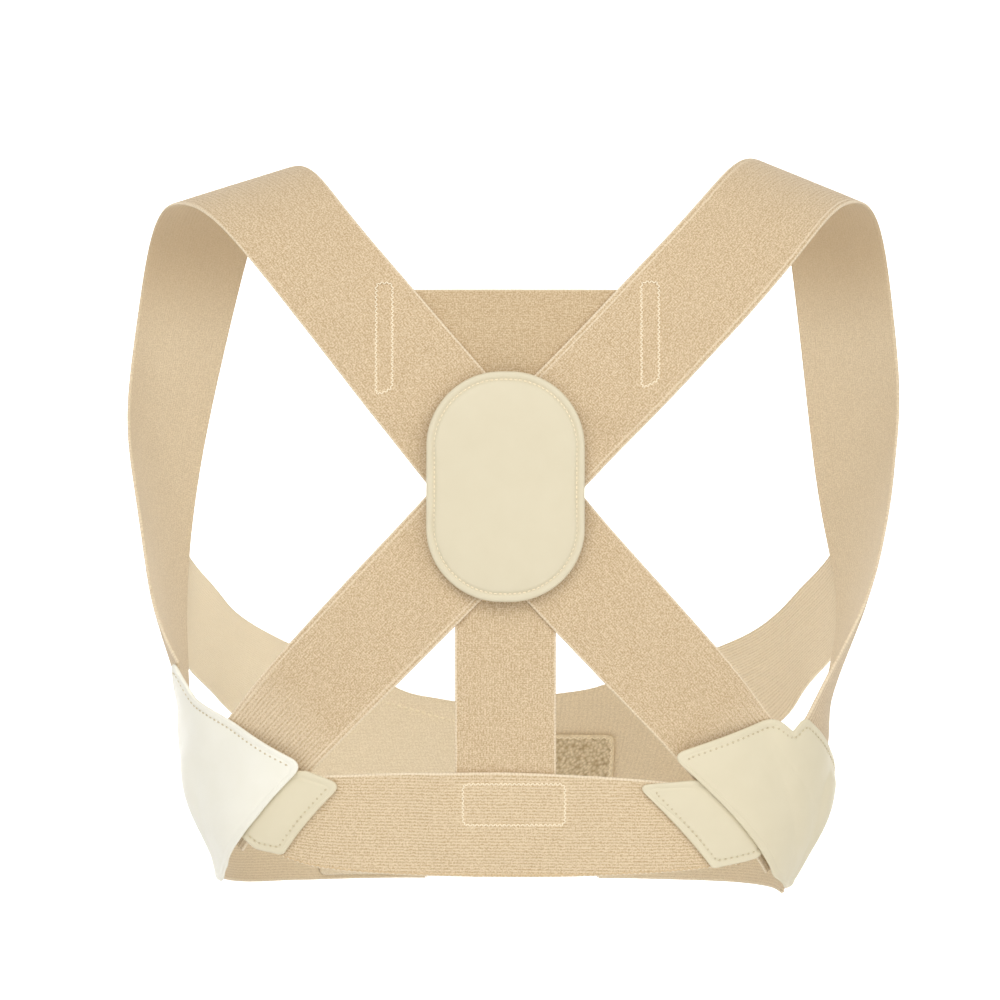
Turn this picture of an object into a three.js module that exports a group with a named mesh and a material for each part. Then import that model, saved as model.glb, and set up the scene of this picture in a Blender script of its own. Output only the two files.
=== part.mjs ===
// A posture corrector as it is worn: two elastic shoulder straps that cross under an oval leather
// pad, a belt, side patches of leather and a closure at the front. Millimetres, +Z up. The wearer
// faces +Y, and the origin is at the spine, on the body side of the straps, behind the pad.
import * as THREE from 'three';

// Webbing widths
const shoulder_webbing = 55;
const chest_webbing = 60;
const belt_webbing = 50;
const spine_webbing = 46.5;

// Walls, and the gap that is left between two layers that are sewn together
const webbing_wall = 1.8;
const leather_wall = 1.8;
const hook_wall = 1.5;
const pad_wall = 3;
const seam_gap = 0.5;

// The oval pad
const pad_width = 72;
const pad_height = 105;
const pad_roundness = 0.944;

// The chest that the brace goes round, and how far it reaches above and below the pad's middle
const chest_half_width = 206;
const chest_depth = 200;
const chest_squareness = 2.6;
const shoulder_rise = 160;
const hem_drop = 206;

// A layer that climbs over another one's edge stays up for drape_margin and comes down over drape_run
const drape_margin = 5;
const drape_run = 18;

// Mesh fineness
const facet = 10;
const fine_facet = 8;
const flat_facet = 14;
const webbing_cells = 6;
const girth_steps = 120;

const WEBBING = { colour: 0xd9c098, roughness: 0.95 };
const WEBBING_INSIDE = { colour: 0xd2b88e, roughness: 0.95 };
const LEATHER = { colour: 0xe8dfbc, roughness: 0.6 };
const HOOK = { colour: 0xcdb98f, roughness: 1 };

// The chest from the hem up. up is a share of hem_drop, left and right of chest_half_width, and
// back and front of chest_depth.
const CHEST = [
  { up: -1.1, left: 0.615, right: 0.62, back: 0.045, front: 0.97 },
  { up: -1, left: 0.635, right: 0.645, back: 0.04, front: 0.98 },
  { up: -0.93, left: 0.672, right: 0.672, back: 0.04, front: 0.99 },
  { up: -0.86, left: 0.69, right: 0.706, back: 0.035, front: 1 },
  { up: -0.73, left: 0.742, right: 0.751, back: 0.025, front: 1.005 },
  { up: -0.6, left: 0.757, right: 0.766, back: 0.015, front: 1.005 },
  { up: -0.495, left: 0.77, right: 0.775, back: 0.01, front: 1 },
  { up: -0.27, left: 0.836, right: 0.857, back: 0, front: 0.99 },
  { up: 0, left: 0.892, right: 0.9345, back: 0, front: 0.96 },
  { up: 0.22, left: 0.935, right: 0.992, back: 0, front: 0.9 },
  { up: 0.485, left: 0.943, right: 1, back: 0.02, front: 0.8 },
  { up: 0.65, left: 0.93, right: 0.98, back: 0.06, front: 0.7 },
];

// The rows of a webbing follow its middle line. round is a share of the half girth at that height,
// from the spine to the breastbone, on the piece's own side (less than nothing on the other side),
// up a share of hem_drop, slant the direction across the webbing, in degrees, and wide a share of
// its width, because elastic webbing narrows where it is drawn tight.
const SHOULDER_STRAPS = {
  left: {
    rise: [
      { round: -0.365, up: -0.812, slant: 140, wide: 0.88 },
      { round: -0.303, up: -0.704, slant: 139, wide: 0.88 },
      { round: -0.22, up: -0.515, slant: 137, wide: 0.89 },
      { round: -0.1345, up: -0.34, slant: 136, wide: 0.91 },
      { round: -0.0585, up: -0.165, slant: 136.5, wide: 0.93 },
      { round: -0.0204, up: -0.063, slant: 139, wide: 0.95 },
      { round: 0.029, up: 0.08, slant: 141, wide: 0.98 },
      { round: 0.0985, up: 0.275, slant: 142, wide: 0.94 },
      { round: 0.174, up: 0.475, slant: 142.3, wide: 0.9 },
    ],
    crest: {
      neck: { out: 0.507, fore: 0.35, up: 0.971 },
      arm: { out: 0.79, fore: 0.375, up: 0.857 },
      heading: 29,
    },
    fall: [
      { round: 0.622, up: 0.252, slant: -8, wide: 0.98 },
      { round: 0.588, up: 0.039, slant: -20, wide: 0.96 },
      { round: 0.5535, up: -0.184, slant: -32, wide: 0.94 },
      { round: 0.518, up: -0.32, slant: -44, wide: 0.92 },
      { round: 0.475, up: -0.427, slant: -52, wide: 0.88 },
      { round: 0.44, up: -0.5, slant: -56, wide: 0.86 },
    ],
  },
  right: {
    rise: [
      { round: -0.362, up: -0.757, slant: 138, wide: 0.88 },
      { round: -0.318, up: -0.684, slant: 137, wide: 0.88 },
      { round: -0.246, up: -0.542, slant: 136, wide: 0.89 },
      { round: -0.15, up: -0.352, slant: 136, wide: 0.91 },
      { round: -0.063, up: -0.163, slant: 137, wide: 0.93 },
      { round: -0.0147, up: -0.049, slant: 136, wide: 0.94 },
      { round: 0.0356, up: 0.087, slant: 134.5, wide: 0.95 },
      { round: 0.1128, up: 0.28, slant: 136, wide: 0.95 },
      { round: 0.198, up: 0.485, slant: 136.3, wide: 0.96 },
    ],
    crest: {
      neck: { out: 0.598, fore: 0.35, up: 0.993 },
      arm: { out: 0.845, fore: 0.375, up: 0.8625 },
      heading: 29,
    },
    fall: [
      { round: 0.627, up: 0.272, slant: -8, wide: 1.01 },
      { round: 0.609, up: 0.068, slant: -20, wide: 0.97 },
      { round: 0.566, up: -0.097, slant: -34, wide: 0.95 },
      { round: 0.528, up: -0.223, slant: -46, wide: 0.93 },
      { round: 0.487, up: -0.345, slant: -52, wide: 0.9 },
      { round: 0.444, up: -0.483, slant: -55, wide: 0.86 },
      { round: 0.392, up: -0.622, slant: -57, wide: 0.85 },
      { round: 0.355, up: -0.676, slant: -58, wide: 0.85 },
    ],
  },
};

// How full the curve over the shoulder is, where 1.17 gives a round arch
const arch_fullness = 1.17;
const arch_steps = 9;

const UPPER_BAND = [
  { round: -0.129, up: 0.323, slant: 90, wide: 0.98 },
  { round: 0, up: 0.323, slant: 90, wide: 0.98 },
  { round: 0.147, up: 0.323, slant: 90, wide: 0.98 },
];

const SPINE_STRAP = [
  { round: 0, up: -0.16, slant: 180, wide: 1 },
  { round: 0, up: -0.4, slant: 180, wide: 1 },
  { round: 0, up: -0.77, slant: 180, wide: 1 },
];

const BACK_BELT = [
  { round: -0.265, up: -0.74, slant: 72, wide: 0.72 },
  { round: -0.195, up: -0.755, slant: 84, wide: 0.9 },
  { round: 0, up: -0.756, slant: 90, wide: 0.985 },
  { round: 0.16, up: -0.764, slant: 93, wide: 0.88 },
  { round: 0.255, up: -0.768, slant: 104, wide: 0.76 },
];

const CHEST_BANDS = {
  left: [
    { round: 0.563, up: -0.2, slant: 30, wide: 1 },
    { round: 0.604, up: -0.318, slant: 33, wide: 1 },
    { round: 0.645, up: -0.412, slant: 41, wide: 0.98 },
    { round: 0.71, up: -0.5, slant: 53, wide: 0.97 },
    { round: 0.786, up: -0.57, slant: 66, wide: 0.93 },
    { round: 0.85, up: -0.621, slant: 75, wide: 0.9 },
  ],
  right: [
    { round: 0.558, up: -0.165, slant: 29, wide: 1 },
    { round: 0.604, up: -0.318, slant: 33, wide: 1.08 },
    { round: 0.664, up: -0.452, slant: 40, wide: 1.08 },
    { round: 0.738, up: -0.536, slant: 50, wide: 1 },
    { round: 0.826, up: -0.6, slant: 62, wide: 0.92 },
  ],
};

const FRONT_BELTS = {
  left: [
    { round: 0.44, up: -0.808, slant: 86, wide: 1 },
    { round: 0.5, up: -0.83, slant: 86, wide: 1 },
    { round: 0.6, up: -0.86, slant: 88, wide: 1 },
    { round: 0.72, up: -0.876, slant: 90, wide: 1 },
    { round: 0.84, up: -0.883, slant: 90, wide: 1 },
  ],
  right: [
    { round: 0.435, up: -0.845, slant: 87, wide: 1 },
    { round: 0.5, up: -0.853, slant: 88, wide: 1 },
    { round: 0.59, up: -0.865, slant: 89, wide: 1 },
    { round: 0.71, up: -0.878, slant: 90, wide: 1 },
    { round: 0.82, up: -0.883, slant: 90, wide: 1 },
  ],
};

// The corners of a cut piece go round its outline: round and up as above, and bend is how far a
// corner is rounded, as a share of leather_corner.
const leather_corner = 8;
const SIDE_PATCHES = {
  left: [
    { round: 0.216, up: -0.62, bend: 1 },
    { round: 0.318, up: -0.524, bend: 0.25 },
    { round: 0.37, up: -0.484, bend: 0.25 },
    { round: 0.402, up: -0.4, bend: 0.6 },
    { round: 0.472, up: -0.545, bend: 0.75 },
    { round: 0.5, up: -0.7, bend: 1 },
    { round: 0.54, up: -0.925, bend: 1 },
    { round: 0.404, up: -0.922, bend: 0.2 },
    { round: 0.36, up: -0.872, bend: 0.4 },
    { round: 0.31, up: -0.796, bend: 0.5 },
    { round: 0.276, up: -0.74, bend: 0.5 },
  ],
  right: [
    { round: 0.175, up: -0.597, bend: 1 },
    { round: 0.3, up: -0.52, bend: 0.9 },
    { round: 0.323, up: -0.557, bend: 0.12 },
    { round: 0.342, up: -0.524, bend: 0.6 },
    { round: 0.392, up: -0.588, bend: 0.5 },
    { round: 0.46, up: -0.675, bend: 0.75 },
    { round: 0.5, up: -0.75, bend: 1 },
    { round: 0.54, up: -0.93, bend: 1 },
    { round: 0.4, up: -0.936, bend: 0.25 },
    { round: 0.327, up: -0.884, bend: 0.5 },
    { round: 0.281, up: -0.797, bend: 0.5 },
    { round: 0.206, up: -0.655, bend: 0.25 },
  ],
};

const BELT_TABS = {
  left: [
    { round: 0.216, up: -0.636, bend: 0.12 },
    { round: 0.177, up: -0.665, bend: 0.9 },
    { round: 0.262, up: -0.832, bend: 0.2 },
    { round: 0.295, up: -0.818, bend: 0.12 },
    { round: 0.314, up: -0.786, bend: 0.12 },
    { round: 0.24, up: -0.636, bend: 0.12 },
  ],
  right: [
    { round: 0.207, up: -0.655, bend: 0.12 },
    { round: 0.141, up: -0.667, bend: 0.9 },
    { round: 0.242, up: -0.862, bend: 0.25 },
    { round: 0.296, up: -0.839, bend: 0.12 },
    { round: 0.316, up: -0.8, bend: 0.12 },
    { round: 0.23, up: -0.645, bend: 0.12 },
  ],
};

const CLOSURE_PANELS = {
  left: [
    { round: 0.77, up: -0.41, bend: 0.4 },
    { round: 0.88, up: -0.53, bend: 0.9 },
    { round: 0.95, up: -0.555, bend: 0.9 },
    { round: 1.025, up: -0.555, bend: 1 },
    { round: 1.025, up: -1.005, bend: 1 },
    { round: 0.77, up: -1.004, bend: 0.4 },
  ],
  right: [
    { round: 0.74, up: -0.41, bend: 0.4 },
    { round: 0.896, up: -0.52, bend: 0.9 },
    { round: 0.96, up: -0.538, bend: 0.9 },
    { round: 1.058, up: -0.55, bend: 1 },
    { round: 1.058, up: -1.005, bend: 1 },
    { round: 0.74, up: -1.004, bend: 0.4 },
  ],
};

const HOOK_PATCH = [
  { round: 0.862, up: -0.637, bend: 0.6 },
  { round: 1.055, up: -0.637, bend: 0.6 },
  { round: 1.055, up: -0.92, bend: 0.6 },
  { round: 0.862, up: -0.92, bend: 0.6 },
];

// A smooth curve through the values of one column, at a place counted in rows
function columnAt(rows, column, place) {
  const i = Math.min(Math.floor(place), rows.length - 2);
  const t = place - i;
  const value = (k) => rows[THREE.MathUtils.clamp(k, 0, rows.length - 1)][column];
  const here = value(i);
  const next = value(i + 1);
  const leave = i > 0 ? (next - value(i - 1)) / 2 : next - here;
  const arrive = i + 2 < rows.length ? (value(i + 2) - here) / 2 : next - here;
  return here + t * (leave + t * (3 * (next - here) - 2 * leave - arrive
    + t * (2 * (here - next) + leave + arrive)));
}

// The chest's half widths, middle and half depth at a height
function chestAt(z) {
  const up = z / hem_drop;
  const last = CHEST.length - 1;
  let i = 0;
  while (i < last - 1 && CHEST[i + 1].up < up) i += 1;
  const reach = (up - CHEST[i].up) / (CHEST[i + 1].up - CHEST[i].up);
  const slope = (k, column) => {
    const a = CHEST[Math.max(k - 1, 0)];
    const b = CHEST[Math.min(k + 1, last)];
    return (b[column] - a[column]) / (b.up - a.up);
  };
  const gap = CHEST[i + 1].up - CHEST[i].up;
  const at = (column) => {
    const here = CHEST[i][column];
    const next = CHEST[i + 1][column];
    const leave = slope(i, column) * gap;
    const arrive = slope(i + 1, column) * gap;
    return here + reach * (leave + reach * (3 * (next - here) - 2 * leave - arrive
      + reach * (2 * (here - next) + leave + arrive)));
  };
  const back = at('back') * chest_depth;
  const front = at('front') * chest_depth;
  return {
    left: at('left') * chest_half_width,
    right: at('right') * chest_half_width,
    middle: (back + front) / 2,
    deep: (front - back) / 2,
  };
}

// One half of the chest's section, a superellipse, measured along its outline from the spine
const halves = new Map();
function halfGirth(side, z) {
  const key = `${side}:${z}`;
  if (halves.has(key)) return halves.get(key);
  const chest = chestAt(z);
  const wide = side < 0 ? chest.left : chest.right;
  const reach = (turn) => (
    (Math.sin(turn) / wide) ** chest_squareness + Math.abs(Math.cos(turn) / chest.deep) ** chest_squareness
  ) ** (-1 / chest_squareness);
  const measured = [0];
  const last = new THREE.Vector2(0, -chest.deep);
  const point = new THREE.Vector2();
  for (let k = 1; k <= girth_steps; k += 1) {
    const turn = (k / girth_steps) * Math.PI;
    point.set(Math.sin(turn), -Math.cos(turn)).multiplyScalar(reach(Math.min(turn, Math.PI - 1e-9)));
    measured.push(measured[k - 1] + point.distanceTo(last));
    last.copy(point);
  }
  const half = { chest, wide, reach, measured, total: measured[girth_steps] };
  halves.set(key, half);
  return half;
}

// The same place counted the other way round the chest is one whole girth away
function nearestTurn(along, z, about) {
  const girth = halfGirth(-1, z).total + halfGirth(1, z).total;
  return along - Math.round((along - about) / girth) * girth;
}

// The point on the chest at a distance along its outline from the spine, pushed out by a lift
function onChest(along, z, lift) {
  const left = halfGirth(-1, z).total;
  const right = halfGirth(1, z).total;
  const here = nearestTurn(along, z, (right - left) / 2);
  const side = here < 0 ? -1 : 1;
  const half = halfGirth(side, z);
  const distance = Math.abs(here);
  let k = 1;
  while (k < girth_steps && half.measured[k] < distance) k += 1;
  const part = (distance - half.measured[k - 1]) / (half.measured[k] - half.measured[k - 1]);
  const turn = ((k - 1 + part) / girth_steps) * Math.PI;
  const radius = half.reach(turn);
  const point = new THREE.Vector3(side * Math.sin(turn) * radius, half.chest.middle - Math.cos(turn) * radius, z);
  const outside = (height) => {
    const chest = chestAt(height);
    return Math.abs(point.x / (side < 0 ? chest.left : chest.right)) ** chest_squareness
      + Math.abs((point.y - chest.middle) / chest.deep) ** chest_squareness;
  };
  const offset = point.y - half.chest.middle;
  const steep = chest_squareness - 1;
  const normal = new THREE.Vector3(
    (chest_squareness * Math.sign(point.x) * Math.abs(point.x) ** steep) / half.wide ** chest_squareness,
    (chest_squareness * Math.sign(offset) * Math.abs(offset) ** steep) / half.chest.deep ** chest_squareness,
    (outside(z + 0.5) - outside(z - 0.5)),
  ).normalize();
  return point.addScaledVector(normal, lift);
}

// A share of the half girth, as a distance from the spine on the side it names
function girthShare(side, round, z) {
  const own = halfGirth(side, z).total;
  if (round > 1) return side * (own + (round - 1) * halfGirth(-side, z).total);
  return side * round * (round < 0 ? halfGirth(-side, z).total : own);
}

// A webbing laid out flat: sections across it, each a list of places on the chest
function flatWebbing(side, rows, width, step, cells) {
  const middle = rows.map((row) => ({
    along: girthShare(side, row.round, row.up * hem_drop),
    z: row.up * hem_drop,
    slant: THREE.MathUtils.degToRad(row.slant),
    wide: row.wide * width,
  }));
  const sections = [];
  for (let i = 0; i + 1 < middle.length; i += 1) {
    const length = Math.hypot(middle[i + 1].along - middle[i].along, middle[i + 1].z - middle[i].z);
    const steps = Math.ceil(length / step);
    for (let k = i === 0 ? 0 : 1; k <= steps; k += 1) {
      const place = i + k / steps;
      const [along, z, slant, wide] = ['along', 'z', 'slant', 'wide'].map((name) => columnAt(middle, name, place));
      const section = [];
      for (let j = 0; j <= cells; j += 1) {
        const across = (j / cells - 0.5) * wide;
        section.push({ along: along + side * across * Math.cos(slant), z: z + across * Math.sin(slant) });
      }
      sections.push(section);
    }
  }
  const first = sections.map((section) => section[0]);
  const second = sections.map((section) => section[cells]);
  return { sections, outline: [...first, ...second.reverse()] };
}

// The outline of a cut piece with its corners rounded and its long sides parted. Its sides are
// straight in shares of the half girth, so that the upright edges of the front pieces stay upright.
function flatCut(side, corners, step) {
  const level = halfGirth(side, 0).total;
  const at = corners.map((corner) => new THREE.Vector2(corner.round * level, corner.up * hem_drop));
  const path = new THREE.Path();
  at.forEach((corner, i) => {
    const before = at[(i + at.length - 1) % at.length];
    const after = at[(i + 1) % at.length];
    const bend = corners[i].bend * leather_corner;
    const enter = corner.clone().lerp(before, Math.min(0.45, bend / corner.distanceTo(before)));
    const leave = corner.clone().lerp(after, Math.min(0.45, bend / corner.distanceTo(after)));
    if (i === 0) path.moveTo(enter.x, enter.y);
    else path.lineTo(enter.x, enter.y);
    path.quadraticCurveTo(corner.x, corner.y, leave.x, leave.y);
  });
  path.closePath();
  const rough = path.getPoints(3);
  rough.pop();
  const outline = [];
  rough.forEach((point, i) => {
    const next = rough[(i + 1) % rough.length];
    const parts = Math.ceil(point.distanceTo(next) / step);
    for (let k = 0; k < parts; k += 1) {
      const place = point.clone().lerp(next, k / parts);
      outline.push({ along: girthShare(side, place.x / level, place.y), z: place.y });
    }
  });
  return { outline };
}

function distanceToEdge(outline, point) {
  return outline.reduce((nearest, a, i) => {
    const b = outline[(i + 1) % outline.length];
    const dx = b.along - a.along;
    const dz = b.z - a.z;
    const part = ((point.x - a.along) * dx + (point.y - a.z) * dz) / (dx * dx + dz * dz || 1);
    const t = THREE.MathUtils.clamp(part, 0, 1);
    return Math.min(nearest, Math.hypot(point.x - a.along - t * dx, point.y - a.z - t * dz));
  }, Infinity);
}

// How far a place lies outside a flat outline, and nothing if it is inside
function distanceOutside(outline, along, z) {
  const about = outline.reduce((sum, point) => sum + point.along, 0) / outline.length;
  const x = nearestTurn(along, z, about);
  const inside = outline.reduce((crossed, a, i) => {
    const b = outline[(i + 1) % outline.length];
    const meets = a.z > z !== b.z > z && x < a.along + ((z - a.z) / (b.z - a.z)) * (b.along - a.along);
    return meets ? !crossed : crossed;
  }, false);
  return inside ? 0 : distanceToEdge(outline, { x, y: z });
}

// A layer drapes over the layers under it: on each it lies one wall and a seam gap higher, and it
// comes down again just past the edge
function layer(flat, wall, under) {
  const lift = (along, z) => under.reduce((highest, lower) => {
    const away = distanceOutside(lower.outline, along, z);
    if (away > drape_margin + drape_run) return highest;
    const held = 1 - THREE.MathUtils.smoothstep(away, drape_margin, drape_margin + drape_run);
    return Math.max(highest, held * (lower.lift(along, z) + lower.wall + seam_gap));
  }, 0);
  return { ...flat, wall, lift };
}

// A closed solid from its vertices and triangles, turned so that its faces point out
function closedSolid(points, triangles) {
  const volume = triangles.reduce((sum, [a, b, c]) => (
    sum + points[a].dot(new THREE.Vector3().crossVectors(points[b], points[c]))
  ), 0);
  const geometry = new THREE.BufferGeometry().setFromPoints(points);
  geometry.setIndex(triangles.flatMap(([a, b, c]) => (volume > 0 ? [a, b, c] : [a, c, b])));
  geometry.computeVertexNormals();
  return geometry;
}

// The solid between an inner and an outer grid of points
function webbingSolid(inner, outer) {
  const rows = inner.length;
  const columns = inner[0].length;
  const points = [...inner.flat(), ...outer.flat()];
  const corner = (face, i, j) => face * rows * columns + i * columns + j;
  const triangles = [];
  const quad = (a, b, c, d) => triangles.push([a, b, c], [a, c, d]);
  for (let i = 0; i + 1 < rows; i += 1) {
    for (let j = 0; j + 1 < columns; j += 1) {
      quad(corner(0, i, j), corner(0, i, j + 1), corner(0, i + 1, j + 1), corner(0, i + 1, j));
      quad(corner(1, i, j), corner(1, i + 1, j), corner(1, i + 1, j + 1), corner(1, i, j + 1));
    }
    quad(corner(0, i, 0), corner(0, i + 1, 0), corner(1, i + 1, 0), corner(1, i, 0));
    const j = columns - 1;
    quad(corner(0, i, j), corner(1, i, j), corner(1, i + 1, j), corner(0, i + 1, j));
  }
  for (let j = 0; j + 1 < columns; j += 1) {
    quad(corner(0, 0, j), corner(1, 0, j), corner(1, 0, j + 1), corner(0, 0, j + 1));
    const i = rows - 1;
    quad(corner(0, i, j), corner(0, i, j + 1), corner(1, i, j + 1), corner(1, i, j));
  }
  return closedSolid(points, triangles);
}

// The two faces of a layer's sections on the chest
function layerFaces(piece) {
  const face = (out) => piece.sections.map((section) => section.map(
    (place) => onChest(place.along, place.z, piece.lift(place.along, place.z) + out),
  ));
  return { inner: face(0), outer: face(piece.wall) };
}

function layerSolid(piece) {
  const { inner, outer } = layerFaces(piece);
  return webbingSolid(inner, outer);
}

// Swap the diagonal of two neighbouring triangles wherever that makes them rounder
function flipDiagonals(points, triangles) {
  const owners = new Map();
  const moved = new Set();
  let flips = 0;
  triangles.forEach((triangle, t) => {
    for (let e = 0; e < 3; e += 1) owners.set(`${triangle[e]}:${triangle[(e + 1) % 3]}`, { t, far: triangle[(e + 2) % 3] });
  });
  const corner = (tip, a, b) => {
    const toA = points[a].clone().sub(points[tip]);
    return Math.abs(toA.angleTo(points[b].clone().sub(points[tip])));
  };
  for (const [key, here] of owners) {
    const [a, b] = key.split(':').map(Number);
    const there = owners.get(`${b}:${a}`);
    if (!there || moved.has(here.t) || moved.has(there.t)) continue;
    if (corner(here.far, a, b) + corner(there.far, a, b) < Math.PI + 1e-6) continue;
    triangles[here.t] = [here.far, a, there.far];
    triangles[there.t] = [there.far, b, here.far];
    moved.add(here.t).add(there.t);
    flips += 1;
  }
  return flips;
}

// Fill an outline with triangles on an even net of inner points, so that it can follow the chest
function fillOutline(outline, step) {
  const places = outline.map((place) => new THREE.Vector2(place.along, place.z));
  const triangles = THREE.ShapeUtils.triangulateShape(places, []);
  const box = new THREE.Box2().setFromPoints(places);
  const turned = (a, b, c) => (b.x - a.x) * (c.y - a.y) - (b.y - a.y) * (c.x - a.x);
  const holds = ([a, b, c], point) => [[a, b], [b, c], [c, a]].every(
    ([from, to]) => turned(places[from], places[to], point) * turned(places[a], places[b], places[c]) > 0,
  );
  const rise = step * Math.sin(Math.PI / 3);
  for (let row = 0; box.min.y + row * rise < box.max.y; row += 1) {
    const shift = row % 2 === 0 ? 0.25 : 0.75;
    for (let x = box.min.x + shift * step; x < box.max.x; x += step) {
      const point = new THREE.Vector2(x, box.min.y + row * rise);
      const t = triangles.findIndex((triangle) => holds(triangle, point));
      if (t < 0 || distanceToEdge(outline, point) < 0.55 * step) continue;
      const [a, b, c] = triangles[t];
      const centre = places.push(point) - 1;
      triangles.splice(t, 1, [a, b, centre], [b, c, centre], [c, a, centre]);
    }
  }
  while (flipDiagonals(places, triangles) > 0);
  return { places, triangles };
}

// A cut piece lies on the chest with both its faces, and a rim joins them
function cutSolid(piece, step) {
  const { places, triangles: fill } = fillOutline(piece.outline, step);
  const count = places.length;
  const points = [0, piece.wall].flatMap((out) => places.map(
    (place) => onChest(place.x, place.y, piece.lift(place.x, place.y) + out),
  ));
  const triangles = [];
  const edges = new Set(fill.flatMap(([a, b, c]) => [`${a}:${b}`, `${b}:${c}`, `${c}:${a}`]));
  for (const [a, b, c] of fill) triangles.push([a, b, c], [count + a, count + c, count + b]);
  for (const edge of edges) {
    const [from, to] = edge.split(':').map(Number);
    if (edges.has(`${to}:${from}`)) continue;
    triangles.push([to, from, count + from], [to, count + from, count + to]);
  }
  return closedSolid(points, triangles);
}

// The arch of a shoulder strap, from the top of its rise over the crest to the top of its fall
function archFaces(side, crest, rise, fall, wall) {
  const cells = webbing_cells;
  const crestPoint = (share) => {
    const mix = (name) => THREE.MathUtils.lerp(crest.arm[name], crest.neck[name], share);
    return new THREE.Vector3(side * mix('out') * chest_half_width, mix('fore') * chest_depth, mix('up') * shoulder_rise);
  };
  const turn = THREE.MathUtils.degToRad(crest.heading);
  const over = new THREE.Vector3(side * Math.sin(turn), Math.cos(turn), 0);
  const top = rise.length - 1;
  const curve = (from, leave, to, arrive, t) => {
    const length = from.distanceTo(to) * arch_fullness;
    const point = from.clone().multiplyScalar(2 * t ** 3 - 3 * t ** 2 + 1);
    point.addScaledVector(leave, length * (t ** 3 - 2 * t ** 2 + t));
    point.addScaledVector(to, 3 * t ** 2 - 2 * t ** 3);
    return point.addScaledVector(arrive, length * (t ** 3 - t ** 2));
  };
  const inner = [];
  for (let k = 1; k < 2 * arch_steps; k += 1) {
    const section = [];
    for (let j = 0; j <= cells; j += 1) {
      const crestAt = crestPoint(j / cells);
      const climb = rise[top][j].clone().sub(rise[top - 1][j]).normalize();
      const drop = fall[1][j].clone().sub(fall[0][j]).normalize();
      section.push(k <= arch_steps
        ? curve(rise[top][j], climb, crestAt, over, k / arch_steps)
        : curve(crestAt, over, fall[0][j], drop, k / arch_steps - 1));
    }
    inner.push(section);
  }
  const all = [rise[top], ...inner, fall[0]];
  const outer = inner.map((section, i) => section.map((point, j) => {
    const ahead = all[i + 2][j].clone().sub(all[i][j]);
    const across = section[Math.min(j + 1, cells)].clone().sub(section[Math.max(j - 1, 0)]);
    const normal = ahead.cross(across).normalize().multiplyScalar(side);
    return point.clone().addScaledVector(normal, wall);
  }));
  return { inner, outer };
}

function shoulderStrap(side, crest, rise, fall) {
  const up = layerFaces(rise);
  const down = layerFaces(fall);
  const arch = archFaces(side, crest, up.inner, down.inner, webbing_wall);
  return webbingSolid(
    [...up.inner, ...arch.inner, ...down.inner],
    [...up.outer, ...arch.outer, ...down.outer],
  );
}

// Every layer, from the body outwards
function layAll() {
  const webbing = (side, rows, width, step, cells, under = []) => (
    layer(flatWebbing(side, rows, width, step, cells), webbing_wall, under)
  );
  const cut = (side, corners, wall, under, step = fine_facet) => layer(flatCut(side, corners, step), wall, under);
  const { left, right } = SHOULDER_STRAPS;
  const strap = (side, rows, step, under) => webbing(side, rows, shoulder_webbing, step, webbing_cells, under);
  const upper_band = webbing(1, UPPER_BAND, belt_webbing, flat_facet, 3);
  const spine = webbing(1, SPINE_STRAP, spine_webbing, flat_facet, 4);
  const fall = { left: strap(-1, left.fall, facet, []), right: strap(1, right.fall, facet, []) };
  const panel_left = cut(-1, CLOSURE_PANELS.left, webbing_wall, [], facet);
  const front_belt = {
    left: webbing(-1, FRONT_BELTS.left, belt_webbing, facet, 5, [fall.left, panel_left]),
    right: webbing(1, FRONT_BELTS.right, belt_webbing, facet, 5, [fall.right]),
  };
  const chest_band = {
    left: webbing(-1, CHEST_BANDS.left, chest_webbing, facet, 5, [fall.left, front_belt.left, panel_left]),
    right: webbing(1, CHEST_BANDS.right, chest_webbing, facet, 5, [fall.right, front_belt.right]),
  };
  const hook = cut(1, HOOK_PATCH, hook_wall, [panel_left], facet);
  const panel_right = cut(1, CLOSURE_PANELS.right, webbing_wall,
    [panel_left, hook, chest_band.right, front_belt.right], facet);
  const rise_left = strap(-1, left.rise, fine_facet, [upper_band, spine, fall.right, front_belt.right]);
  const rise_right = strap(1, right.rise, fine_facet, [upper_band, spine, rise_left, fall.left, front_belt.left]);
  const belt = webbing(1, BACK_BELT, belt_webbing, facet, 5, [spine, rise_left, rise_right]);
  const tab = {
    left: cut(-1, BELT_TABS.left, leather_wall, [belt, rise_right]),
    right: cut(1, BELT_TABS.right, leather_wall, [belt, rise_left]),
  };
  const patch = {
    left: cut(-1, SIDE_PATCHES.left, leather_wall,
      [tab.left, belt, rise_right, chest_band.left, fall.left, front_belt.left]),
    right: cut(1, SIDE_PATCHES.right, leather_wall,
      [tab.right, belt, rise_left, chest_band.right, fall.right, front_belt.right]),
  };
  const highest = (share) => padOutline().map(
    (place) => rise_right.lift(share * place.along, share * place.z),
  );
  const crossing = Math.max(...[0, 0.3, 0.6, 0.8, 1].flatMap(highest)) + webbing_wall + seam_gap;
  return {
    upper_band, spine, fall, panel_left, front_belt, chest_band, hook, panel_right, rise_left, rise_right,
    belt, tab, patch, crossing,
  };
}

// The oval pad is a stiff plate, held level over the highest of the straps that cross under it
function padOutline() {
  const corner = (pad_roundness * Math.min(pad_width, pad_height)) / 2;
  const x = pad_width / 2 - corner;
  const y = pad_height / 2 - corner;
  const shape = new THREE.Path();
  [[x, y], [-x, y], [-x, -y], [x, -y]].forEach(([along, z], quarter) => {
    const start = (quarter * Math.PI) / 2;
    shape.absarc(along, z, corner, start, start + Math.PI / 2);
  });
  return shape.getPoints(7).map((point) => ({ along: point.x, z: point.y }));
}

function padSolid(height) {
  return cutSolid({ outline: padOutline(), wall: pad_wall, lift: () => height }, flat_facet);
}

const brace = new THREE.Group();

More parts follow.
